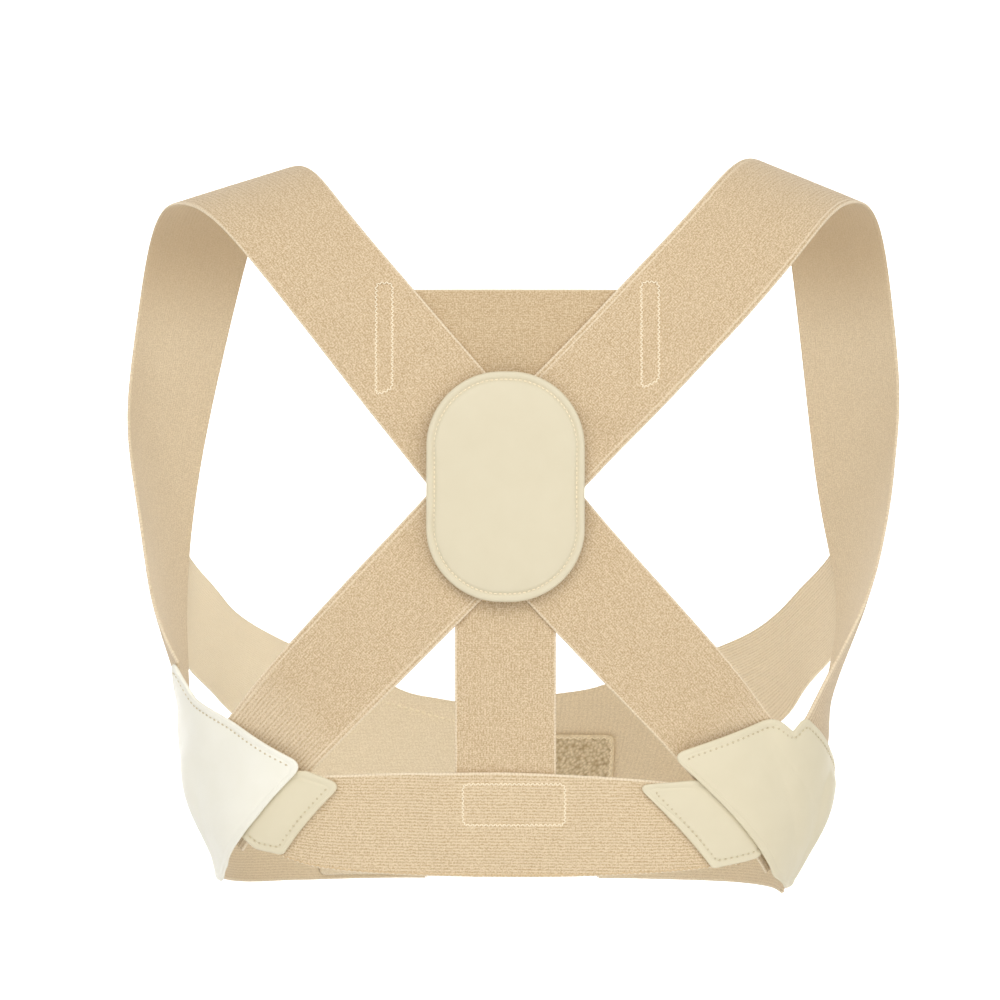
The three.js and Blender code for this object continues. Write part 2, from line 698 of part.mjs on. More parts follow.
function addPiece(name, geometry, finish) {
  const material = new THREE.MeshStandardMaterial({
    color: finish.colour, roughness: finish.roughness, metalness: 0, name,
  });
  const mesh = new THREE.Mesh(geometry, material);
  mesh.name = name;
  brace.add(mesh);
}

const laid = layAll();
addPiece('shoulder_strap_left', shoulderStrap(-1, SHOULDER_STRAPS.left.crest, laid.rise_left, laid.fall.left), WEBBING);
addPiece('shoulder_strap_right', shoulderStrap(1, SHOULDER_STRAPS.right.crest, laid.rise_right, laid.fall.right), WEBBING);
addPiece('upper_back_band', layerSolid(laid.upper_band), WEBBING);
addPiece('spine_strap', layerSolid(laid.spine), WEBBING);
addPiece('back_belt', layerSolid(laid.belt), WEBBING);
addPiece('back_pad', padSolid(laid.crossing), LEATHER);
for (const side of ['left', 'right']) {
  addPiece(`side_patch_${side}`, cutSolid(laid.patch[side], fine_facet), LEATHER);
  addPiece(`belt_tab_${side}`, cutSolid(laid.tab[side], fine_facet), LEATHER);
  addPiece(`chest_band_${side}`, layerSolid(laid.chest_band[side]), WEBBING_INSIDE);
  addPiece(`front_belt_${side}`, layerSolid(laid.front_belt[side]), WEBBING_INSIDE);
}
addPiece('closure_panel_left', cutSolid(laid.panel_left, facet), WEBBING_INSIDE);
addPiece('closure_panel_right', cutSolid(laid.panel_right, facet), WEBBING_INSIDE);
addPiece('hook_patch', cutSolid(laid.hook, facet), HOOK);

export default brace;
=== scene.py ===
# %% [markdown]
# # A posture corrector, as it looks when it is worn
#
# The brace is made of elastic webbing and pale leather. Two shoulder straps cross between the
# shoulder blades, under an oval pad. A belt, side patches and a front closure hold them down. Each
# piece of cloth here is rebuilt as a fine mesh in the place of its plain CAD solid. Its shape comes
# from the same sizes and tables, so every piece lies where its solid lies.
#
# Lengths are written in millimetres and turned into metres when a mesh is made.

# %% The frame and the tools

import math
from collections import defaultdict

import bpy
import numpy as np
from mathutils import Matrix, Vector


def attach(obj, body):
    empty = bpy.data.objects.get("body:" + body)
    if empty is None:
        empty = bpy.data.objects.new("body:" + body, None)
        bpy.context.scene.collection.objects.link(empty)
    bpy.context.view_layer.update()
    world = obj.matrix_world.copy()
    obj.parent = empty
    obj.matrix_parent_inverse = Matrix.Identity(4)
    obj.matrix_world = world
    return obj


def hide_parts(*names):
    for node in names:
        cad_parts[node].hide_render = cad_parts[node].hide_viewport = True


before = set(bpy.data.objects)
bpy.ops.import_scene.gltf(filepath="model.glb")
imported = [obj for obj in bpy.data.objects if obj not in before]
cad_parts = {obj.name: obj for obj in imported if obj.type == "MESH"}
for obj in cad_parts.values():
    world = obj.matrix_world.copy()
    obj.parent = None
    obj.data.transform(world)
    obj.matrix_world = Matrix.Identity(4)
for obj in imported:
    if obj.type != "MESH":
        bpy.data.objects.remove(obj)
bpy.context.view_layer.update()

MM = 0.001

# %% [markdown]
# ## Sizes
#
# These are the sizes that the CAD part is driven by. Webbing is known by its width, and both the
# webbing and the leather have a wall. A layer that climbs over another one stays up for
# `drape_margin` past its edge and comes down over `drape_run`, or over `leather_run` where it is
# leather.

# %% Sizes

shoulder_webbing, chest_webbing, belt_webbing, spine_webbing = 55, 60, 50, 46.5
webbing_wall, leather_wall, hook_wall, pad_wall = 1.8, 1.8, 1.5, 3
seam_gap = 0.5
pad_width, pad_height, pad_roundness = 72, 105, 0.944
chest_half_width, chest_depth, chest_squareness = 206, 200, 2.6
shoulder_rise, hem_drop = 160, 206
drape_margin, drape_run, leather_run = 5, 18, 60
leather_corner = 8
arch_fullness = 1.17
at_once = 3000  # places worked out at a time, which saves memory


def table(columns, *rows):
    """A table with named columns, each an array."""
    return dict(zip(columns.split(), np.array(rows, float).T))


# %% [markdown]
# ## The chest
#
# Nothing holds loose webbing in this shape except the body inside it, so the body comes first. Its
# level sections are superellipses, which are a little squarer than ellipses. A table gives their
# half widths and depths from the hem up. It could be sculpted, but a formula keeps every layer
# measurable: each place has a distance round the chest from the spine, and a height.

# %% The chest

CHEST = table(
    "up left right back front",
    (-1.1, 0.615, 0.62, 0.045, 0.97),
    (-1, 0.635, 0.645, 0.04, 0.98),
    (-0.93, 0.672, 0.672, 0.04, 0.99),
    (-0.86, 0.69, 0.706, 0.035, 1),
    (-0.73, 0.742, 0.751, 0.025, 1.005),
    (-0.6, 0.757, 0.766, 0.015, 1.005),
    (-0.495, 0.77, 0.775, 0.01, 1),
    (-0.27, 0.836, 0.857, 0, 0.99),
    (0, 0.892, 0.9345, 0, 0.96),
    (0.22, 0.935, 0.992, 0, 0.9),
    (0.485, 0.943, 1, 0.02, 0.8),
    (0.65, 0.93, 0.98, 0.06, 0.7),
)


def smooth_column(places, values, wanted):
    """A cubic through the values, whose slope at each is that of the line between its neighbours."""
    i = np.clip(np.searchsorted(places, wanted) - 1, 0, len(places) - 2)
    before, after = np.maximum(i - 1, 0), np.minimum(i + 2, len(places) - 1)
    gap = places[i + 1] - places[i]
    t = (wanted - places[i]) / gap
    here, there = values[i], values[i + 1]
    leave = (there - values[before]) / (places[i + 1] - places[before]) * gap
    arrive = (values[after] - here) / (places[after] - places[i]) * gap
    return here + t * (leave + t * (3 * (there - here) - 2 * leave - arrive
                                    + t * (2 * (here - there) + leave + arrive)))


def chest_at(z):
    """The half widths, the middle and the half depth of the chest's section at each height."""
    up = np.asarray(z) / hem_drop
    left, right, back, front = (smooth_column(CHEST["up"], CHEST[name], up) for name in CHEST if name != "up")
    back, front = back * chest_depth, front * chest_depth
    return left * chest_half_width, right * chest_half_width, (back + front) / 2, (front - back) / 2


# The directions that a section is measured in, from the spine round to the breastbone.
turns = np.linspace(0, math.pi, 121)


def section_reach(turn, wide, deep):
    """The distance of the section's outline from its middle, in the direction of the turn.

    It is the sum of (sine over width) and (cosine over depth), each to the power of the squareness,
    to the power of minus one over the squareness.
    """
    n = chest_squareness
    return ((np.sin(turn) / wide) ** n + np.abs(np.cos(turn) / deep) ** n) ** (-1 / n)


def measured_sections(wide, deep):
    """The distance along half a section, from the spine to each of the turns."""
    reach = section_reach(turns[None, :], wide[:, None], deep[:, None])
    x, y = np.sin(turns) * reach, -np.cos(turns) * reach
    steps = np.hypot(np.diff(x, axis=1), np.diff(y, axis=1))
    return np.concatenate([np.zeros((len(wide), 1)), np.cumsum(steps, axis=1)], axis=1)


lowest, highest = -1.09 * hem_drop, 0.64 * hem_drop
level_heights = np.linspace(lowest, highest, 600)
level_left, level_right, _, level_deep = chest_at(level_heights)
left_half_girth = measured_sections(level_left, level_deep)[:, -1]
right_half_girth = measured_sections(level_right, level_deep)[:, -1]


def half_girth(side, z):
    """The distance along half a section, from the spine to the breastbone."""
    return np.interp(z, level_heights, left_half_girth if side < 0 else right_half_girth)


def girth_share(side, round_, z):
    """A share of the half girth, as a distance from the spine. Past the breastbone it goes on
    along the other half, and less than nothing is on the other side of the spine."""
    own, other = half_girth(side, z), half_girth(-side, z)
    return side * np.where(round_ > 1, own + (round_ - 1) * other, np.where(round_ < 0, other, own) * round_)


def nearest_turn(along, z, about):
    """The same place, counted the way round the chest that brings it nearest to another."""
    girth = half_girth(-1, z) + half_girth(1, z)
    return along - np.round((along - about) / girth) * girth


def on_chest(along, z, lift):
    """The points on the chest, pushed out along its normals by the lift, and those normals."""
    along, z, lift = (np.asarray(v, float) for v in np.broadcast_arrays(along, z, lift))
    shape = along.shape
    along, z, lift = along.ravel(), z.ravel(), lift.ravel()
    here = nearest_turn(along, z, (half_girth(1, z) - half_girth(-1, z)) / 2)
    left, right, middle, deep = chest_at(z)
    side = np.where(here < 0, -1, 1)
    wide = np.where(here < 0, left, right)
    turn = np.empty_like(z)
    for part in np.array_split(np.arange(len(z)), max(1, len(z) // at_once)):
        measured = measured_sections(wide[part], deep[part])
        distance = np.minimum(np.abs(here[part]), measured[:, -1] - 1e-6)
        k = np.clip((measured < distance[:, None]).sum(axis=1), 1, len(turns) - 1)
        row = np.arange(len(part))
        low, high = measured[row, k - 1], measured[row, k]
        turn[part] = turns[k - 1] + (distance - low) / (high - low) * (turns[1] - turns[0])
    reach = section_reach(turn, wide, deep)
    x, depth = side * np.sin(turn) * reach, -np.cos(turn) * reach
    y = middle + depth

    def outside(height):
        low_left, low_right, low_middle, low_deep = chest_at(height)
        across = np.abs(x / np.where(side < 0, low_left, low_right))
        return across ** chest_squareness + np.abs((y - low_middle) / low_deep) ** chest_squareness

    steep = chest_squareness - 1
    normal = np.stack([
        chest_squareness * np.sign(x) * np.abs(x) ** steep / wide ** chest_squareness,
        chest_squareness * np.sign(depth) * np.abs(depth) ** steep / deep ** chest_squareness,
        outside(z + 0.5) - outside(z - 0.5),
    ], axis=1)
    normal /= np.linalg.norm(normal, axis=1, keepdims=True)
    points = np.stack([x, y, z], axis=1) + normal * lift[:, None]
    return points.reshape(*shape, 3), normal.reshape(*shape, 3)


print(f"the chest is {half_girth(-1, 0) + half_girth(1, 0):.0f} mm round at the pad")

# %% [markdown]
# ## The routes of the pieces
#
# A webbing is given by its middle line. `round` is a share of the half girth, `up` a share of the
# drop to the hem, `slant` the direction across the webbing in degrees, and `wide` a share of its
# width, because elastic narrows where it is drawn tight. A cut piece is given by its corners, and
# `bend` says how far each is rounded. Both could be drawn by hand as curves, but a table lets a
# layer be moved with one number.

# %% The routes of the pieces


def route(*rows):
    """The middle line of a webbing."""
    return table("round up slant wide", *rows)


def cut_corners(*rows):
    """The corners of a cut piece."""
    return table("round up bend", *rows)


RISES = {
    "left": route(
        (-0.365, -0.812, 140, 0.88),
        (-0.303, -0.704, 139, 0.88),
        (-0.22, -0.515, 137, 0.89),
        (-0.1345, -0.34, 136, 0.91),
        (-0.0585, -0.165, 136.5, 0.93),
        (-0.0204, -0.063, 139, 0.95),
        (0.029, 0.08, 141, 0.98),
        (0.0985, 0.275, 142, 0.94),
        (0.174, 0.475, 142.3, 0.9),
    ),
    "right": route(
        (-0.362, -0.757, 138, 0.88),
        (-0.318, -0.684, 137, 0.88),
        (-0.246, -0.542, 136, 0.89),
        (-0.15, -0.352, 136, 0.91),
        (-0.063, -0.163, 137, 0.93),
        (-0.0147, -0.049, 136, 0.94),
        (0.0356, 0.087, 134.5, 0.95),
        (0.1128, 0.28, 136, 0.95),
        (0.198, 0.485, 136.3, 0.96),
    ),
}
FALLS = {
    "left": route(
        (0.622, 0.252, -8, 0.98),
        (0.588, 0.039, -20, 0.96),
        (0.5535, -0.184, -32, 0.94),
        (0.518, -0.32, -44, 0.92),
        (0.475, -0.427, -52, 0.88),
        (0.44, -0.5, -56, 0.86),
    ),
    "right": route(
        (0.627, 0.272, -8, 1.01),
        (0.609, 0.068, -20, 0.97),
        (0.566, -0.097, -34, 0.95),
        (0.528, -0.223, -46, 0.93),
        (0.487, -0.345, -52, 0.9),
        (0.444, -0.483, -55, 0.86),
        (0.392, -0.622, -57, 0.85),
        (0.355, -0.676, -58, 0.85),
    ),
}
CRESTS = {
    "left": {"neck": (0.507, 0.35, 0.971), "arm": (0.79, 0.375, 0.857), "heading": 29},
    "right": {"neck": (0.598, 0.35, 0.993), "arm": (0.845, 0.375, 0.8625), "heading": 29},
}
UPPER_BAND = route((-0.129, 0.323, 90, 0.98), (0, 0.323, 90, 0.98), (0.147, 0.323, 90, 0.98))
SPINE_STRAP = route((0, -0.16, 180, 1), (0, -0.4, 180, 1), (0, -0.77, 180, 1))
BACK_BELT = route(
    (-0.265, -0.74, 72, 0.72),
    (-0.195, -0.755, 84, 0.9),
    (0, -0.756, 90, 0.985),
    (0.16, -0.764, 93, 0.88),
    (0.255, -0.768, 104, 0.76),
)
CHEST_BANDS = {
    "left": route(
        (0.563, -0.2, 30, 1),
        (0.604, -0.318, 33, 1),
        (0.645, -0.412, 41, 0.98),
        (0.71, -0.5, 53, 0.97),
        (0.786, -0.57, 66, 0.93),
        (0.85, -0.621, 75, 0.9),
    ),
    "right": route(
        (0.558, -0.165, 29, 1),
        (0.604, -0.318, 33, 1.05),
        (0.664, -0.452, 40, 1.05),
        (0.738, -0.536, 50, 1),
        (0.795, -0.578, 58, 0.94),
    ),
}
FRONT_BELTS = {
    "left": route(
        (0.44, -0.808, 86, 1),
        (0.5, -0.83, 86, 1),
        (0.6, -0.86, 88, 1),
        (0.72, -0.876, 90, 1),
        (0.84, -0.883, 90, 1),
    ),
    "right": route(
        (0.435, -0.845, 87, 1),
        (0.5, -0.853, 88, 1),
        (0.59, -0.865, 89, 1),
        (0.71, -0.878, 90, 1),
        (0.82, -0.883, 90, 1),
    ),
}
SIDE_PATCHES = {
    "left": cut_corners(
        (0.216, -0.62, 1),
        (0.318, -0.524, 0.25),
        (0.37, -0.484, 0.25),
        (0.402, -0.4, 0.6),
        (0.472, -0.545, 0.75),
        (0.5, -0.7, 1),
        (0.54, -0.925, 1),
        (0.404, -0.922, 0.2),
        (0.36, -0.872, 0.4),
        (0.31, -0.796, 0.5),
        (0.276, -0.74, 0.5),
    ),
    "right": cut_corners(
        (0.175, -0.597, 1),
        (0.3, -0.52, 0.9),
        (0.323, -0.557, 0.12),
        (0.342, -0.524, 0.6),
        (0.392, -0.588, 0.5),
        (0.46, -0.675, 0.75),
        (0.5, -0.75, 1),
        (0.54, -0.93, 1),
        (0.4, -0.936, 0.25),
        (0.327, -0.884, 0.5),
        (0.281, -0.797, 0.5),
        (0.206, -0.655, 0.25),
    ),
}
BELT_TABS = {
    "left": cut_corners(
        (0.216, -0.636, 0.12),
        (0.177, -0.665, 0.9),
        (0.262, -0.832, 0.2),
        (0.295, -0.818, 0.12),
        (0.314, -0.786, 0.12),
        (0.24, -0.636, 0.12),
    ),
    "right": cut_corners(
        (0.207, -0.655, 0.12),
        (0.141, -0.667, 0.9),
        (0.242, -0.862, 0.25),
        (0.296, -0.839, 0.12),
        (0.316, -0.8, 0.12),
        (0.23, -0.645, 0.12),
    ),
}
CLOSURE_PANELS = {
    "left": cut_corners(
        (0.77, -0.41, 0.4),
        (0.88, -0.53, 0.9),
        (0.95, -0.555, 0.9),
        (1.025, -0.555, 1),
        (1.025, -1.005, 1),
        (0.735, -0.985, 0.4),
    ),
    "right": cut_corners(
        (0.74, -0.41, 0.4),
        (0.896, -0.52, 0.9),
        (0.96, -0.538, 0.9),
        (1.058, -0.55, 1),
        (1.058, -1.005, 1),
        (0.74, -0.99, 0.4),
    ),
}
HOOK_PATCH = cut_corners(
    (0.862, -0.637, 0.6),
    (1.055, -0.637, 0.6),
    (1.055, -0.92, 0.6),
    (0.862, -0.92, 0.6),
)

# %% [markdown]
# ## Laying the pieces flat
#
# A webbing becomes rows of places across it. Its columns are closer together at the two edges,
# where the selvage is rounded. A cut piece becomes an outline with rounded corners. In both, a
# place is a distance round the chest and a height.

# %% Laying the pieces flat

# How far the outer columns lie from the edge, and the step between the others.
selvage_columns, column_step = (0, 0.25, 0.6, 1.1, 1.8, 3), 2.4
# Points on each rounded corner, and the most of a side that it may take up.
corner_points, corner_share = 7, 0.45


def edge_columns(wide):
    """Places across a webbing, from -1 to 1, close together at the edges and even between them."""
    half, inner = wide / 2, selvage_columns[-1]
    middle = np.linspace(-half + inner, half - inner, max(4, round((wide - 2 * inner) / column_step)))
    low = [-half + d for d in selvage_columns[:-1]]
    return np.concatenate([low, middle, [-d for d in reversed(low)]]) / half


def flat_webbing(side, rows, width, step=2.2):
    """The places of a webbing: one row for each section along it, one column for each place across."""
    z = rows["up"] * hem_drop
    along = girth_share(side, rows["round"], z)
    slant, wide = np.radians(rows["slant"]), rows["wide"] * width
    number = np.arange(len(z), dtype=float)
    stops = [0.0]
    for i in range(len(z) - 1):
        parts = math.ceil(math.hypot(along[i + 1] - along[i], z[i + 1] - z[i]) / step)
        stops += list(i + np.arange(1, parts + 1) / parts)
    smooth = (smooth_column(number, values, np.array(stops)) for values in (along, z, slant, wide))
    along, z, slant, wide = (values[:, None] for values in smooth)
    across = edge_columns(width) * wide / 2
    places = np.stack([along + side * across * np.cos(slant), z + across * np.sin(slant)], axis=-1)
    outline = np.concatenate([places[:, 0], places[::-1, -1]])
    return {"places": places, "across": across, "outline": outline, "side": side}


def even_path(path, step, closed=True):
    """The same path with its points at even distances."""
    if closed:
        path = np.concatenate([path, path[:1]])
    measured = np.concatenate([[0], np.cumsum(np.linalg.norm(np.diff(path, axis=0), axis=1))])
    count = max(3, round(measured[-1] / step))
    wanted = np.linspace(0, measured[-1], count + 1)[: count if closed else count + 1]
    return np.stack([np.interp(wanted, measured, path[:, k]) for k in range(path.shape[1])], axis=1)


def rounded_outline(corners, bend, step):
    """A closed outline through flat corners, each rounded with a quadratic curve, in even steps."""

    def towards(other):
        share = np.minimum(corner_share, bend / np.linalg.norm(corners - other, axis=1))
        return corners + (other - corners) * share[:, None]

    enter, leave = towards(np.roll(corners, 1, axis=0)), towards(np.roll(corners, -1, axis=0))
    t = np.linspace(0, 1, corner_points)[None, :, None]
    curves = (1 - t) ** 2 * enter[:, None] + 2 * t * (1 - t) * corners[:, None] + t ** 2 * leave[:, None]
    return even_path(curves.reshape(-1, 2), step)


def flat_cut(side, corners, step=1.6):
    """The outline of a cut piece. Its sides are straight in shares of the half girth."""
    level = half_girth(side, 0)
    straight = np.stack([corners["round"] * level, corners["up"] * hem_drop], axis=1)
    along, z = rounded_outline(straight, corners["bend"] * leather_corner, step).T
    return {"outline": np.stack([girth_share(side, along / level, z), z], axis=1), "side": side}


# %% [markdown]
# ## Draping one layer over another
#
# Where webbing crosses webbing it climbs over it, and on the way down it leaves a small hollow. A
# cloth simulation could find this, but the crossings here are few and flat. So each layer's height
# above the chest is worked out: one wall and a seam gap over the layers under it, and from there
# smoothly down past their edges.

# %% Draping one layer over another

footprint_points = 90

def distance_outside(outline, along, z, reach):
    """How far each place within reach lies outside an outline: the least distance to its sides, or
    nothing inside it. Places out of reach count as endlessly far."""
    px, pz = nearest_turn(along.ravel(), z.ravel(), outline[:, 0].mean()), z.ravel()
    result = np.full(len(px), np.inf)
    low, high = outline.min(axis=0) - reach, outline.max(axis=0) + reach
    near = np.flatnonzero((px > low[0]) & (px < high[0]) & (pz > low[1]) & (pz < high[1]))
    (ax, ay), (bx, by) = outline.T, np.roll(outline, -1, axis=0).T
    dx, dy = bx - ax, by - ay
    squared = np.maximum(dx ** 2 + dy ** 2, 1e-9)
    rise = np.where(np.abs(dy) < 1e-9, 1e-9, dy)
    for part in np.array_split(near, max(1, len(near) // at_once)):
        x, y = px[part][:, None], pz[part][:, None]
        t = np.clip(((x - ax) * dx + (y - ay) * dy) / squared, 0, 1)
        distance = np.hypot(x - ax - t * dx, y - ay - t * dy).min(axis=1)
        crossed = ((ay > y) != (by > y)) & (x < ax + (y - ay) / rise * dx)
        result[part] = np.where(crossed.sum(axis=1) % 2 == 1, 0, distance)
    return result.reshape(z.shape)


def smooth_fall(distance, run):
    """One up to the margin, then a smooth step down to nothing at the end of the run."""
    t = np.clip((distance - drape_margin) / run, 0, 1)
    return 1 - t * t * (3 - 2 * t)


class Layer:
    """A flat piece with its wall, and the layers that it lies on."""

    def __init__(self, flat, wall, under=(), run=drape_run):
        self.flat, self.wall, self.under, self.run = flat, wall, under, run
        every = max(1, len(flat["outline"]) // footprint_points)
        self.footprint = flat["outline"][::every]

    def lift(self, along, z):
        """The height of the layer's body side above the chest."""
        height = np.zeros(np.shape(along))
        for lower in self.under:
            held = smooth_fall(distance_outside(lower.footprint, along, z, drape_margin + self.run), self.run)
            touched = held > 0
            if touched.any():
                climbs = np.zeros_like(height)
                climbs[touched] = lower.lift(along[touched], z[touched]) + lower.wall + seam_gap
                height = np.maximum(height, held * climbs)
        return height

    def place(self, places, out=0.0):
        """Points at a distance out from the layer's body side, and the chest's normals there."""
        along, z = places[..., 0], places[..., 1]
        return on_chest(along, z, self.lift(along, z) + out)


def woven(side, rows, width, *under):
    """A webbing that lies on the layers under it."""
    return Layer(flat_webbing(side, rows, width), webbing_wall, under)


def leather_cut(side, corners, *under):
    """A leather piece. It is stiff, so it comes down from the layers under it over a longer run."""
    return Layer(flat_cut(side, corners), leather_wall, under, leather_run)


SIDES = {"left": -1, "right": 1}

upper_band = woven(1, UPPER_BAND, belt_webbing)
spine_strap = woven(1, SPINE_STRAP, spine_webbing)
fall = {name: woven(side, FALLS[name], shoulder_webbing) for name, side in SIDES.items()}
panel_left = Layer(flat_cut(-1, CLOSURE_PANELS["left"]), webbing_wall)
front_belt = {
    "left": woven(-1, FRONT_BELTS["left"], belt_webbing, fall["left"], panel_left),
    "right": woven(1, FRONT_BELTS["right"], belt_webbing, fall["right"]),
}
chest_band = {
    "left": woven(-1, CHEST_BANDS["left"], chest_webbing, fall["left"], front_belt["left"], panel_left),
    "right": woven(1, CHEST_BANDS["right"], chest_webbing, fall["right"], front_belt["right"]),
}
hook = Layer(flat_cut(1, HOOK_PATCH), hook_wall, (panel_left,))
panel_right = Layer(flat_cut(1, CLOSURE_PANELS["right"]), webbing_wall,
                    (panel_left, hook, chest_band["right"], front_belt["right"]))
rise_left = woven(-1, RISES["left"], shoulder_webbing,
                  upper_band, spine_strap, fall["right"], front_belt["right"])
rise_right = woven(1, RISES["right"], shoulder_webbing,
                   upper_band, spine_strap, rise_left, fall["left"], front_belt["left"])
belt = woven(1, BACK_BELT, belt_webbing, spine_strap, rise_left, rise_right)
under_tab = {"left": (belt, rise_right), "right": (belt, rise_left)}
tab = {name: leather_cut(side, BELT_TABS[name], *under_tab[name]) for name, side in SIDES.items()}
patch = {
    name: leather_cut(side, SIDE_PATCHES[name], tab[name], *under_tab[name],
                      chest_band[name], fall[name], front_belt[name])
    for name, side in SIDES.items()
}
crossing = rise_right.lift(np.zeros(1), np.zeros(1))[0] + webbing_wall
print(f"the crossing of the straps stands {crossing:.1f} mm off the chest")

# %% [markdown]
# ## Making the meshes
#
# A webbing is one closed loop of points at each section: out along its outer face and back along
# its inner face. The wall thins at both edges by a quarter circle, which gives the woven edge its
# round look. A cut piece is made of rings, from its outline in to its middle, on both faces. Each
# mesh carries a UV map in metres, along and across the cloth, so that a weave keeps its real size on
# every piece. Three attributes say how far a point is from the edge, whether it is on the inside,
# and how much the cords stand out there.

# %% Making the meshes

body = "root"
thinnest_edge = 0.15
rib_fade, crest_reach = 22, 34
stitch_inset, rim_width, puff_run, groove_width = 3.7, 3, 7, 0.75
# How far the first rings of a cut piece lie from its edge: close together at the groove.
near_rings = np.array([0, 0.2, 0.5, 0.9, 1.5, 2.3, 2.9, 3.3, 3.7, 4.1, 4.6, 5.4])


def add_mesh(name, points, faces, uv=None, **attributes):
    """A smooth mesh object from points in millimetres. uv and the attributes hold one value a point."""
    name = name.replace(" ", "-")
    mesh = bpy.data.meshes.new(name)
    mesh.from_pydata((points * MM).tolist(), [], faces)
    mesh.polygons.foreach_set("use_smooth", np.ones(len(mesh.polygons), bool))
    if uv is not None:
        corners = np.empty(len(mesh.loops), int)
        mesh.loops.foreach_get("vertex_index", corners)
        mesh.uv_layers.new(name="cloth").data.foreach_set("uv", (uv[corners] * MM).astype(np.float32).ravel())
    for key, values in attributes.items():
        mesh.attributes.new(key, "FLOAT", "POINT").data.foreach_set("value", values.astype(np.float32))
    piece = bpy.data.objects.new(name, mesh)
    bpy.context.scene.collection.objects.link(piece)
    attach(piece, body)
    return piece


def ring_quads(first, last, columns):
    """The faces between closed rings of points, from the first ring up to the last."""
    i, j = np.meshgrid(np.arange(first, last), np.arange(columns), indexing="ij")
    a, b = (i * columns + j).ravel(), (i * columns + (j + 1) % columns).ravel()
    return np.stack([a, b, b + columns, a + columns], axis=1)


def wall_share(to_edge, wall):
    """How thick the wall is at a distance from the edge: a quarter circle, then full."""
    t = np.clip(to_edge / (wall / 2), 0, 1)
    return thinnest_edge + (1 - thinnest_edge) * np.sqrt(np.clip(1 - (1 - t) ** 2, 0, 1))


def webbing_mesh(name, inner, normals, across, rib_reach=0, crest=None):
    """A closed webbing. inner holds the body side's points and normals their directions out. Its
    cords stand out as ribs near its ends and near its crest, where it is pulled and bent."""
    wide = 2 * across[:, -1]
    to_edge = np.maximum(wide[:, None] / 2 - np.abs(across), 0)
    thick = wall_share(to_edge, webbing_wall)[..., None] * webbing_wall / 2
    middle = inner + normals * webbing_wall / 2
    loop = np.concatenate([middle + normals * thick, (middle - normals * thick)[:, ::-1]], axis=1)
    rows, columns = loop.shape[:2]
    steps = np.linalg.norm(np.diff(inner[:, inner.shape[1] // 2], axis=0), axis=1)
    length = np.concatenate([[0], np.cumsum(steps)])
    v = np.concatenate([across, across[:, ::-1]], axis=1)
    uv = np.stack([np.broadcast_to(length[:, None], v.shape), v], axis=-1).reshape(-1, 2)
    edge = np.concatenate([to_edge, to_edge[:, ::-1]], axis=1).ravel()
    inside = np.concatenate([np.zeros_like(to_edge), np.ones_like(to_edge)], axis=1).ravel()
    ribbed = np.clip((rib_reach - np.minimum(length, length[-1] - length)) / rib_fade, 0, 1)
    if crest is not None:
        ribbed = np.maximum(ribbed, np.exp(-((length - length[crest]) / crest_reach) ** 2))
    ribbed = np.broadcast_to(ribbed[:, None], v.shape).ravel()
    ends = [list(range(columns))[::-1], list(range((rows - 1) * columns, rows * columns))]
    piece = add_mesh(name, loop.reshape(-1, 3), ring_quads(0, rows - 1, columns).tolist() + ends, uv,
                     edge=edge, inside=inside, ribbed=ribbed)
    print(f"{name}: webbing {wide.mean():.0f} mm wide and {length[-1]:.0f} mm long")
    return piece, length[-1]


def sewn_edge(to_edge, depth, bulge):
    """A flat rim, a groove that the stitches pull in, and a swelling towards the middle."""
    swelling = 1 - np.exp(-np.maximum(to_edge - rim_width, 0) / puff_run)
    return bulge * swelling - depth * np.exp(-((to_edge - stitch_inset) / groove_width) ** 2)


def cut_mesh(name, layer, depth=0.0, bulge=0.0, rings=26):
    """A closed cut piece of rings between its outline and its middle, on its outer and inner face."""
    outline = layer.flat["outline"]
    hub = outline.mean(axis=0)
    spokes = np.linalg.norm(outline - hub, axis=1)
    near = np.broadcast_to(near_rings[:, None], (len(near_rings), len(spokes)))
    far = near_rings[-1] + np.linspace(0, 1, rings)[1:-1, None] * (spokes - near_rings[-1])
    to_edge = np.concatenate([near, far, spokes[None, :]])
    places = hub + (outline - hub) * (1 - to_edge / spokes)[..., None]
    inner, normals = layer.place(places)
    thick = wall_share(to_edge, layer.wall)[..., None] * layer.wall / 2
    middle = inner + normals * layer.wall / 2
    puff = sewn_edge(to_edge, depth, bulge)[..., None] * normals
    rows = np.concatenate([(middle + normals * thick + puff)[::-1], middle - normals * thick])
    flat = np.concatenate([places[::-1], places]) * [layer.flat["side"], 1]
    edge = np.concatenate([to_edge[::-1], to_edge])
    inside = np.concatenate([np.zeros_like(to_edge), np.ones_like(to_edge)])
    count, columns = rows.shape[:2]
    ring, last = np.arange(columns), (count - 1) * columns
    quads = ring_quads(1, count - 2, columns)[:, [0, 3, 2, 1]]
    after, under = (ring + 1) % columns, last - columns
    first_fan = np.stack([0 * ring, ring + columns, after + columns], axis=1)
    last_fan = np.stack([0 * ring + last, after + under, ring + under], axis=1)
    used = np.ones(count * columns, bool)
    used[1:columns] = used[last + 1:] = False
    renumber = np.cumsum(used) - 1
    faces = [face for kind in (quads, first_fan, last_fan) for face in renumber[kind].tolist()]
    piece = add_mesh(name, rows.reshape(-1, 3)[used], faces, flat.reshape(-1, 2)[used],
                     edge=edge.ravel()[used], inside=inside.ravel()[used], ribbed=np.zeros(used.sum()))
    span = outline.max(axis=0) - outline.min(axis=0)
    x, y = outline.T
    area = abs((x * np.roll(y, -1) - y * np.roll(x, -1)).sum()) / 2
    print(f"{name}: cut piece {span[0]:.0f} by {span[1]:.0f} mm")
    return piece, span, area


